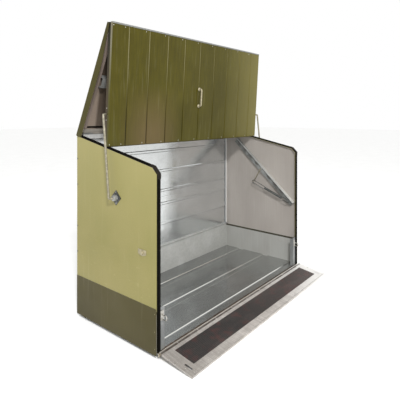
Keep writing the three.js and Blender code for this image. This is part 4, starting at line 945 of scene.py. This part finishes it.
def circle(sides: int) -> tuple[np.ndarray, np.ndarray]:
    """Gives cos a and sin a for evenly spaced angles a."""
    angle = np.linspace(0.0, 2.0 * np.pi, sides, endpoint=False)[:, None]
    return np.cos(angle), np.sin(angle)


def sweep(path: np.ndarray, across: np.ndarray, radius: np.ndarray | float,
          sides: int) -> np.ndarray:
    """Carries a circle along a path: centre + r (cos a * across + sin a * tangent x across).

    Args:
        path: an N by 3 array of centres.
        across: an N by 3 array of directions roughly square to the path.
        radius: one radius, or one for each centre.
        sides: how many corners the circle has.

    Returns:
        The tube's stack of rings.
    """
    tangent = np.gradient(path, axis=0)
    tangent /= np.linalg.norm(tangent, axis=1, keepdims=True)
    side = across - (across * tangent).sum(axis=1, keepdims=True) * tangent
    side /= np.linalg.norm(side, axis=1, keepdims=True)
    lift = np.cross(tangent, side)
    cosine, sine = circle(sides)
    reach = np.broadcast_to(np.asarray(radius, dtype=float), (len(path),))[:, None, None]
    return path[:, None] + reach * (cosine * side[:, None] + sine * lift[:, None])


def rounded_path(corners: np.ndarray, bend: float, steps: int = 10) -> np.ndarray:
    """Rounds a run of corner points: each corner becomes an arc tangent to both its legs.

    Args:
        corners: an N by 3 array; the first and last stay as they are.
        bend: the bend radius of the centre line.
        steps: how many points each arc gets.

    Returns:
        The points of the rounded run.
    """
    pieces = [corners[:1]]
    share = np.linspace(0.0, 1.0, steps)[:, None]
    for before, corner, after in zip(corners[:-2], corners[1:-1], corners[2:]):
        inward = (before - corner) / np.linalg.norm(before - corner)
        outward = (after - corner) / np.linalg.norm(after - corner)
        half = math.acos(float(np.clip(inward @ outward, -1.0, 1.0))) / 2.0
        bisector = (inward + outward) / np.linalg.norm(inward + outward)
        centre = corner + bisector * bend / math.sin(half)
        start = corner + inward * bend / math.tan(half) - centre
        end = corner + outward * bend / math.tan(half) - centre
        turn = math.pi - 2.0 * half
        arc = (np.sin((1.0 - share) * turn) * start + np.sin(share * turn) * end) / math.sin(turn)
        pieces.append(centre + arc)
    pieces.append(corners[-1:])
    return np.concatenate(pieces)


def turned(base: Vector, axis: Vector, profile: np.ndarray, sides: int) -> np.ndarray:
    """Turns a profile about an axis: base + height * axis + radius (cos a * u + sin a * v).

    Args:
        base: the point on the axis at height 0.
        axis: the direction of growing height.
        profile: an N by 2 array of radius and height whose end radii are above 0.
        sides: how many corners the turned form has.

    Returns:
        The form's stack of rings.
    """
    along = np.array(axis.normalized())
    side = np.array(axis.orthogonal().normalized())
    cosine, sine = circle(sides)
    ring = cosine * side + sine * np.cross(along, side)
    return (np.array(base) + profile[:, 1, None, None] * along
            + profile[:, 0, None, None] * ring)


def carried(outline: np.ndarray, low: float, high: float) -> np.ndarray:
    """Carries a closed outline straight across the locker: (x, HALF_DEPTH - forward, up).

    Args:
        outline: an N by 2 array of distances forward of the rear face and heights.
        low: where the bar starts on X.
        high: where it ends on X.

    Returns:
        The bar's stack of two rings.
    """
    ends = np.broadcast_to(np.array([low, high])[:, None], (2, len(outline)))
    forward, up = np.broadcast_to(outline.T[:, None], (2, *ends.shape))
    return np.stack([ends, HALF_DEPTH - forward, up], axis=-1)


def softened(low: Pair, high: Pair, edge: float) -> np.ndarray:
    """Rounds a rectangle: each corner is centre + edge (cos a, sin a) over a quarter turn.

    Args:
        low: the rectangle's lowest corner.
        high: its highest corner.
        edge: the radius of its corners.

    Returns:
        The closed outline as an N by 2 array.
    """
    (left, bottom), (right, top) = low, high
    centres = np.array([[right - edge, top - edge], [left + edge, top - edge],
                        [left + edge, bottom + edge], [right - edge, bottom + edge]])
    angle = np.linspace(0.0, np.pi / 2.0, 4) + np.arange(4)[:, None] * np.pi / 2.0
    arcs = centres[:, None] + edge * np.stack([np.cos(angle), np.sin(angle)], axis=-1)
    return arcs.reshape(-1, 2)


# ---------------------------------------------------------------- sub-assemblies


@dataclass(frozen=True)
class Heads:
    """One kind of domed rivet, screw or bolt head: its radius and height, sunk a little."""

    radius: float
    height: float
    finish: Finish = Finish.BRIGHT
    slot: str = "bright_steel"
    sunk: float = 0.3 * MM
    sides: int = 12

    def profile(self) -> np.ndarray:
        """Works out radius r cos t at height h sin t, over a short rim.

        Returns:
            Rows of a radius and a height.
        """
        angle = np.linspace(0.0, 0.46 * np.pi, 6)
        dome = np.stack([self.radius * np.cos(angle), self.height * np.sin(angle)], axis=1)
        return np.concatenate([[[self.radius, -self.sunk]], dome])


@dataclass(frozen=True)
class Leaf:
    """A flat part that leans on its hinge: distances run out from the hinge, and square to it."""

    hinge: Pair
    angle: float

    def section(self, along: Any, lift: Any) -> tuple[Any, Any]:
        """Works out hinge + along (cos a, sin a) + lift (-sin a, cos a).

        Args:
            along: distances out from the hinge.
            lift: distances square to the leaf.

        Returns:
            The distances forward of the rear face, and the heights.
        """
        cosine, sine = math.cos(math.radians(self.angle)), math.sin(math.radians(self.angle))
        return (self.hinge[0] + along * cosine - lift * sine,
                self.hinge[1] + along * sine + lift * cosine)

    def spot(self, x: float, along: float, lift: float) -> Vector:
        """Gives the point at x from the locker's middle."""
        return place(x, *self.section(along, lift))

    def way(self, along: float, lift: float) -> Vector:
        """Gives the direction that goes so far along and so far up from the leaf."""
        return self.spot(0.0, along, lift) - self.spot(0.0, 0.0, 0.0)


@dataclass
class Assembly:
    """Shared ways of dressing solids and adding pieces to one body."""

    frame: dict[str, Any]
    paints: Paints
    coats: ClassVar[dict[Finish, str]] = {}

    def dress(self) -> None:
        """Gives the assembly's solids their finishes; a * stands for left and for right."""
        for finish, names in self.coats.items():
            for name in names.split():
                for node in {name.replace("*", side) for side, _ in SIDES}:
                    self.paints.dress(self.frame["nodes"][node], finish)

    def add(self, piece: bpy.types.Object, body: str, slot: str, finish: Finish,
            replaces: tuple[str, ...] = ()) -> None:
        """Puts a new piece on a body with its finish, and hides the solids that it replaces.

        Args:
            piece: the finished piece.
            body: the body that it rides on.
            slot: not used.
            finish: what it is dressed in.
            replaces: the names of the solids that it stands for.
        """
        self.paints.dress(piece, finish)
        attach(piece, body)
        if replaces:
            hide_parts(*replaces)
        LOG.info("added %s on %s", piece.name, body)

    def fix(self, name: str, body: str, kind: Heads, places: list[Vector], axis: Vector) -> None:
        """Adds one piece that holds a row of heads.

        Args:
            name: the piece's name.
            body: the body that it rides on.
            kind: the kind of head.
            places: where the heads sit.
            axis: the way they face.
        """
        stacks = [turned(spot, axis, kind.profile(), kind.sides) for spot in places]
        self.add(skin(name, stacks), body, kind.slot, kind.finish)


@dataclass
class Cabinet(Assembly):
    """The fixed box: walls, floor, seals, staples and brackets."""

    coats = {
        Finish.PALE_PAINT: "side_panel_*",
        Finish.SKIRT_PAINT: "side_skirt_*",
        Finish.ZINC: "floor_tray",
        Finish.CHANNEL_ZINC: "spring_channel_*",
        Finish.FITTING_ZINC: "pivot_bush_* rear_hinge_fixed_leaf",
        Finish.SHEET_ZINC: "back_skirt",
        Finish.POST_ZINC: "front_post_*",
        Finish.RAIL_ZINC: "top_rail",
        Finish.PALE_ZINC: "back_panel_upper back_panel_lower",
        Finish.POST: "corner_post_*",
        Finish.DARK_ZINC: "floor_bearer_middle floor_bearer_*",
        Finish.SEAL: "top_seal_* front_seal_*",
        Finish.CAP: "corner_cap_*",
        Finish.DARK_PLATE: "pivot_plate_*",
        Finish.CREAM: "side_bracket_*",
        Finish.BRIGHT: "lock_staple_* rear_hinge_pin",
        Finish.HINGE_CREAM: "ramp_hinge_fixed_leaf ramp_hinge_pin",
    }
    skirt_rivet: Heads = Heads(3.2 * MM, 1.2 * MM, Finish.STUD_PAINT, "skirt_paint")
    corner_bolt: Heads = Heads(5.5 * MM, 3.2 * MM, Finish.BOLT)
    plate_rivet: Heads = Heads(3.0 * MM, 1.3 * MM)
    back_rivet: Heads = Heads(3.5 * MM, 1.4 * MM)
    rivet_heights: tuple[float, ...] = (266 * MM, 160 * MM, 57 * MM)
    rivet_inset: float = 14 * MM
    skirt_sheet: float = 1.5 * MM
    bolt_heights: tuple[float, ...] = (1140 * MM, 955 * MM, 655 * MM, 470 * MM)
    bolt_inset: float = 7 * MM
    plate_sheet: float = 3 * MM
    plate_rise: float = 36 * MM
    back_heights: tuple[float, ...] = (
        330 * MM, 410 * MM, 575 * MM, 850 * MM, 1050 * MM, 1228 * MM)
    back_column: float = 908 * MM
    seam: float = 734 * MM
    seam_pitch: float = 230 * MM

    def build(self) -> None:
        """Dresses the solids and adds the rivets and bolts."""
        self.dress()
        for side, sign in SIDES:
            self.side_fixings(side, sign)
        self.back_fixings()

    def side_fixings(self, side: str, sign: float) -> None:
        """Adds the rivets and bolts on one outer wall, and those of its diamond plate.

        Args:
            side: left or right.
            sign: the side's direction along X.
        """
        out = Vector((sign, 0.0, 0.0))
        forward, up = ARM_PIVOT
        skirt = [place(sign * (HALF_WIDTH + self.skirt_sheet), BODY_DEPTH - self.rivet_inset, z)
                 for z in self.rivet_heights]
        rear = [place(sign * HALF_WIDTH, self.bolt_inset, z) for z in self.bolt_heights]
        plate = [place(sign * (HALF_WIDTH + self.plate_sheet), forward, up + rise)
                 for rise in (-self.plate_rise, self.plate_rise)]
        self.fix(f"skirt_rivets_{side}", "cabinet", self.skirt_rivet, skirt, out)
        self.fix(f"corner_bolts_{side}", "cabinet", self.corner_bolt, rear, out)
        self.fix(f"plate_rivets_{side}", "cabinet", self.plate_rivet, plate, out)

    def back_fixings(self) -> None:
        """Adds the rivets down both rear corners and along the seam of the back sheets."""
        rear = float(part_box("back_panel_lower")[1][1])
        spots = [Vector((sign * self.back_column, rear, z)) for _, sign in SIDES
                 for z in self.back_heights]
        spots += [Vector((index * self.seam_pitch, rear, self.seam)) for index in range(-3, 4)]
        self.fix("back_rivets", "cabinet", self.back_rivet, spots, Vector((0.0, 1.0, 0.0)))


@dataclass
class Roof(Assembly):
    """The lifting roof with its rails, stiffeners, hinge leaves and tail seal."""

    coats = {
        Finish.ROOF_PAINT: "roof_panel",
        Finish.RIB: "rear_hinge_moving_leaf",
        Finish.ROOF_RIB: "roof_side_rail_* roof_stiffener_front",
        Finish.FITTING_ZINC: "roof_stiffener_middle",
        Finish.BRIGHT: "door_hinge_roof_leaf door_hinge_pin",
    }
    rivet: Heads = Heads(3.2 * MM, 1.2 * MM, Finish.STUD_PAINT, "olive_paint")
    leaf: Leaf = Leaf((6 * MM, 1318.1 * MM), 64.65)
    sheet_inner: float = 6.5 * MM
    sheet_outer: float = 8 * MM
    seal_run: Pair = (44 * MM, 58 * MM)
    seal_thick: float = 3.2 * MM
    seal_edge: float = 1.2 * MM
    seal_half: float = 860 * MM
    rivet_column: float = 892 * MM
    rivet_runs: tuple[float, ...] = (70 * MM, 245 * MM, 430 * MM, 615 * MM, 790 * MM)

    def build(self) -> None:
        """Dresses the roof's solids, and adds its tail seal and the rivets over its rails."""
        self.dress()
        start, end = self.seal_run
        outline = softened((start, self.sheet_inner - self.seal_thick), (end, self.sheet_inner),
                           self.seal_edge)
        strip = np.stack(self.leaf.section(*outline.T), axis=1)
        self.add(skin("roof_tail_seal", [carried(strip, -self.seal_half, self.seal_half)]),
                 "roof", "seal_rubber", Finish.SEAL)
        spots = [self.leaf.spot(sign * self.rivet_column, run, self.sheet_outer)
                 for _, sign in SIDES for run in self.rivet_runs]
        self.fix("roof_rivets", "roof", self.rivet, spots, self.leaf.way(0.0, 1.0))


@dataclass
class Door(Assembly):
    """The hinged front door: grooved face, ribs, trims and handle."""

    coats = {
        Finish.DARK_PAINT: "door_panel",
        Finish.RIB: "door_stiffener door_bottom_rail",
        Finish.BRIGHT: "door_hinge_door_leaf",
    }
    screw: Heads = Heads(3.6 * MM, 1.6 * MM)
    edge_rivet: Heads = Heads(4.0 * MM, 1.5 * MM)
    leaf: Leaf = Leaf((368.212 * MM, 2082.638 * MM), -3.6)
    face: float = 41 * MM
    screw_offset: float = 39 * MM
    outer_screw: float = -914 * MM
    screw_drops: Pair = (26 * MM, 828 * MM)
    edge_drops: Pair = (582 * MM, 662 * MM)
    edge_out: float = 12 * MM
    trim_half: float = 924 * MM
    trim_corner: Pair = (40.6, 7.0)
    trim_bend: float = 2.6
    trim_start: tuple[Pair, ...] = ((24.0, 6.9), (24.0, 4.4))
    trim_end: tuple[Pair, ...] = (
        (43.2, 14.0), (42.6, 14.8), (40.9, 14.8), (40.9, 6.9))
    handle_drops: Pair = (409 * MM, 549 * MM)
    handle_root: float = 41.5 * MM
    handle_reach: float = 69 * MM
    handle_radius: float = 7 * MM
    handle_bend: float = 11 * MM
    handle_sides: int = 20
    foot_sides: int = 24
    foot: tuple[Pair, ...] = (
        (15.0, 0.3), (15.0, 3.4), (14.2, 4.6), (10.5, 5.3), (7.6, 7.0), (6.9, 9.0))

    def build(self) -> None:
        """Dresses the door's solids, and adds its screws, rivets, trim and handle."""
        self.dress()
        out = self.leaf.way(1.0, 0.0)
        columns = [index * GROOVE_PITCH - self.screw_offset for index in range(-4, 5)]
        spots = [self.leaf.spot(x, self.face, -drop) for x in [self.outer_screw, *columns]
                 for drop in self.screw_drops]
        self.fix("door_screws", "door", self.screw, spots, out)
        self.trim()
        for side, sign in SIDES:
            spots = [self.leaf.spot(sign * HALF_WIDTH, self.edge_out, -drop)
                     for drop in self.edge_drops]
            self.fix(f"door_edge_rivets_{side}", "door", self.edge_rivet, spots,
                     Vector((sign, 0.0, 0.0)))
        self.handle(out)

    def trim(self) -> None:
        """Laps a bright angle over the door's top front edge.

        Its outline, in millimetres out and down of the pivot, runs along the top fold, over a
        small round at the edge, corner + r (cos a, -sin a), and down the face.
        """
        bend = np.linspace(0.5, 0.0, 5) * np.pi
        arc = self.trim_corner + self.trim_bend * np.stack([np.cos(bend), -np.sin(bend)], axis=1)
        outline = np.concatenate([self.trim_start, arc, self.trim_end]) * MM
        section = np.stack(self.leaf.section(outline[:, 0], -outline[:, 1]), axis=1)
        strip = skin("door_edge_strip", [carried(section, -self.trim_half, self.trim_half)], False)
        self.add(strip, "door", "bright_steel", Finish.EDGE)

    def handle(self, out: Vector) -> None:
        """Makes the bar handle: a bent round bar on two turned feet.

        Args:
            out: the direction square to the door's face.
        """
        top, bottom = self.handle_drops
        run = ((self.handle_root, top), (self.handle_reach, top), (self.handle_reach, bottom),
               (self.handle_root, bottom))
        corners = np.array([self.leaf.spot(0.0, reach, -drop) for reach, drop in run])
        path = rounded_path(corners, self.handle_bend)
        across = np.tile([1.0, 0.0, 0.0], (len(path), 1))
        foot = np.array(self.foot) * MM
        feet = [turned(self.leaf.spot(0.0, self.face, -drop), out, foot, self.foot_sides)
                for drop in self.handle_drops]
        bar = sweep(path, across, self.handle_radius, self.handle_sides)
        self.add(skin("door_handle_bent", [bar, *feet]), "door", "cream_metal", Finish.CREAM,
                 ("door_handle",))


@dataclass
class LiftingGear(Assembly):
    """The rods outside the walls, with their bent cranks and the springs inside."""

    crank_tip: Pair = (369.869 * MM, 784.756 * MM)
    leg: tuple[Pair, ...] = ((422 * MM, 911 * MM), (363 * MM, 1458 * MM))
    pin: Pair = (337.925 * MM, 1461.314 * MM)
    peg_end: float = 866 * MM
    crank_plane: float = 890.4 * MM
    bush_end: float = 961 * MM
    rod_plane: float = 966.5 * MM
    pin_bend: float = 945 * MM
    pin_end: float = 911 * MM
    rod_bend: float = 8 * MM
    rod_sides: int = 20
    # The rod's radius in millimetres at numbered points of its rounded path: the peg, the crank,
    # the neck, the run through the bush, the thicker leg and the hook in the door.
    gauge: tuple[Pair, ...] = (
        (0, 4.5), (3, 4.5), (10, 5.5), (14, 5.5), (20, 5.1), (21, 6.0), (30, 6.0), (31, 7.5),
        (50, 7.5), (51, 6.0))
    anchor: Pair = (757 * MM, 630.039 * MM)
    spring_plane: float = 873 * MM
    wire: float = 3 * MM
    coil: float = 9.2 * MM
    curls: int = 31
    pitch: float = 6.6 * MM
    hook: float = 70 * MM
    eye: float = 13 * MM
    seat: float = 8.5 * MM
    eye_points: int = 17
    curl_points: int = 20
    wire_sides: int = 10

    def build(self) -> None:
        """Makes the rods and springs."""
        for side, sign in SIDES:
            self.rod(side, sign)
            self.spring(side, sign)

    def rod(self, side: str, sign: float) -> None:
        """Bends one rod: the spring's peg, the crank, the bush, the long leg, the door's edge.

        Its hooked ends splay forward and back, and its long leg is the thicker part.

        Args:
            side: left or right.
            sign: the side's direction along X.
        """
        low, high = self.leg
        run = ((self.peg_end, self.crank_tip), (self.crank_plane, self.crank_tip),
               (self.crank_plane, ARM_PIVOT), (self.bush_end, ARM_PIVOT), (self.rod_plane, low),
               (self.rod_plane, high), (self.pin_bend, self.pin), (self.pin_end, self.pin))
        corners = np.array([place(sign * x, *spot) for x, spot in run])
        path = rounded_path(corners, self.rod_bend)
        direction = corners[5] - corners[4]
        normal = np.cross(direction / np.linalg.norm(direction), [1.0, 0.0, 0.0])
        stops, radii = np.array(self.gauge).T
        radius = np.interp(np.arange(len(path)), stops, radii * MM)
        bar = sweep(path, np.tile(normal, (len(path), 1)), radius, self.rod_sides)
        self.add(skin(f"lift_rod_{side}", [bar]), f"{side}_arm", "cream_metal", Finish.RAIL,
                 (f"arm_rod_{side}", f"crank_lever_{side}"))

    def tip(self, along: float, way: float) -> np.ndarray:
        """Gives one row, as loop does, for a point level with an eye's upper or lower wire."""
        return np.array([[along, 0.0, way * self.eye, 0.0, 0.0, way]])

    def loop(self, centre: float, start: float, end: float) -> np.ndarray:
        """Bends one eye about a peg: centre + r (cos a, 0, sin a), with a in half turns.

        Args:
            centre: where the eye's middle is along the spring's line.
            start: where the eye starts.
            end: where it ends.

        Returns:
            Rows of a point and of its outward direction.
        """
        angle = np.linspace(start, end, self.eye_points) * np.pi
        outward = np.stack([np.cos(angle), np.zeros_like(angle), np.sin(angle)], axis=1)
        return np.hstack([[centre, 0.0, 0.0] + self.eye * outward, outward])

    def spring(self, side: str, sign: float) -> None:
        """Winds one spring: a long eye, close curls, and a hook at the anchor.

        The run goes from the crank's peg to the anchor. In the coil the wire is at
        c + R (cos a, sin a) about the spring's line, advancing one pitch a turn. The outward
        direction of each point carries the wire's section.

        Args:
            side: left or right.
            sign: the side's direction along X.
        """
        run = np.array(self.anchor) - self.crank_tip
        span = float(np.linalg.norm(run))
        forward, up = run / span
        coil_end = span - self.hook
        coil_start = coil_end - self.curls * self.pitch
        shift = self.eye - self.seat
        turn = np.linspace(0.0, self.curls, self.curls * self.curl_points + 1)
        angle = np.pi / 2.0 - 2.0 * np.pi * turn
        radial = np.stack([0.0 * turn, np.cos(angle), np.sin(angle)], axis=1)
        middle = np.stack([coil_start + turn * self.pitch, 0.0 * turn, 0.0 * turn], axis=1)
        rows = np.concatenate([
            self.tip(coil_start - self.pitch, -1.0), self.loop(shift, -0.5, -1.5),
            self.tip(coil_start - self.pitch, 1.0),
            np.hstack([middle + self.coil * radial, radial]),
            self.tip(coil_end + self.pitch, 1.0), self.loop(span - shift, 0.5, -0.5),
            self.tip(coil_end + 2.0 * self.pitch, -1.0)])
        # Rows of the spring's own directions: along its line, sideways and square to both.
        basis = np.array([[0.0, -forward, up], [sign, 0.0, 0.0], [0.0, up, forward]])
        origin = np.array(place(sign * self.spring_plane, *self.crank_tip))
        coil = sweep(origin + rows[:, :3] @ basis, rows[:, 3:] @ basis, self.wire,
                     self.wire_sides)
        self.add(skin(f"lift_spring_{side}", [coil]), f"{side}_spring", "bright_steel",
                 Finish.SPRING, (f"spring_{side}",))


@dataclass
class Ramp(Assembly):
    """The fold-down ramp with its tread, and the studs at its corners and along its hinge."""

    coats = {
        Finish.RAMP: "ramp_plate",
        Finish.TREAD: "ramp_grip_strip",
        Finish.HINGE_CREAM: "ramp_hinge_moving_leaf",
    }
    stud: Heads = Heads(3.4 * MM, 1.0 * MM)
    leaf: Leaf = Leaf((841.5 * MM, 43 * MM), -8.3)
    sheet_top: float = 7.2 * MM
    corner_column: float = 900 * MM
    corner_runs: Pair = (24 * MM, 188 * MM)
    hinge_pitch: float = 205 * MM
    hinge_run: float = 27 * MM

    def build(self) -> None:
        """Dresses the ramp's solids and adds the studs."""
        self.dress()
        places = [(sign * self.corner_column, run) for _, sign in SIDES
                  for run in self.corner_runs]
        places += [(index * self.hinge_pitch, self.hinge_run) for index in range(-4, 5)]
        spots = [self.leaf.spot(x, run, self.sheet_top) for x, run in places]
        self.fix("ramp_studs", "ramp", self.stud, spots, self.leaf.way(0.0, 1.0))


@dataclass
class Studio:
    """Floor, soft light and the camera at the photograph's place."""

    eye: tuple[float, float, float] = (-2.5775, -2.1103, 1.4528)
    heading: tuple[float, float, float] = (0.7710, 0.6366, 0.0)
    focal_pixels: float = 396.64
    picture: float = 400.0
    axis_row: float = 115.35
    sensor: float = 36.0
    reach: float = 40.0

    def camera(self) -> None:
        """Sets the level camera, shifted down to the photograph's framing."""
        data = bpy.data.cameras.new("camera")
        data.sensor_width = self.sensor
        data.lens = self.focal_pixels * self.sensor / self.picture
        data.shift_y = (self.axis_row - self.picture / 2.0) / self.picture
        obj = linked("camera", data)
        obj.location = self.eye
        obj.rotation_euler = Vector(self.heading).to_track_quat("-Z", "Y").to_euler()
        bpy.context.scene.camera = obj

    def floor(self) -> None:
        """Lays a large sheet of pale paper on the ground."""
        far = self.reach
        mesh = bpy.data.meshes.new("studio_floor")
        mesh.from_pydata([(-far, -far, 0), (far, -far, 0), (far, far, 0), (-far, far, 0)], [],
                         [[0, 1, 2, 3]])
        mesh.materials.append(StudioPaper("seamless_paper").build())
        linked("studio_floor", mesh)

    def light(self, name: str, spot: tuple, target: tuple, size: float, power: float) -> None:
        """Hangs one soft square light.

        Args:
            name: the light's name.
            spot: where it hangs.
            target: what it is turned towards.
            size: the length of its side in metres.
            power: its power in watts.
        """
        data = bpy.data.lights.new(name, "AREA")
        data.shape = "SQUARE"
        data.size = size
        data.energy = power
        obj = linked(name, data)
        obj.location = spot
        obj.rotation_euler = (Vector(target) - Vector(spot)).to_track_quat("-Z", "Y").to_euler()

    def build(self) -> None:
        """Sets up the whole studio."""
        self.camera()
        self.floor()
        world = bpy.data.worlds.new("studio")
        bpy.context.scene.world = world
        world.use_nodes = True
        background = world.node_tree.nodes["Background"]
        background.inputs[0].default_value = linear("ffffff")
        background.inputs[1].default_value = 1.0
        self.light("key", (-3.4, -3.9, 4.4), (-0.2, 0.0, 0.9), size=0.6, power=300.0)
        self.light("front", (-1.0, -4.4, 1.6), (0.1, 0.0, 0.5), size=2.2, power=25.0)
        bpy.context.scene.view_settings.view_transform = "Standard"


def main() -> None:
    """Builds the dressed locker in order."""
    logging.basicConfig(level=logging.INFO, format="%(name)s: %(message)s")
    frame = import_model()
    paints = Paints()
    Studio().build()
    for assembly in (Cabinet, Roof, Door, LiftingGear, Ramp):
        assembly(frame, paints).build()
        LOG.info("finished %s", assembly.__name__)


if __name__ == "__main__":
    main()
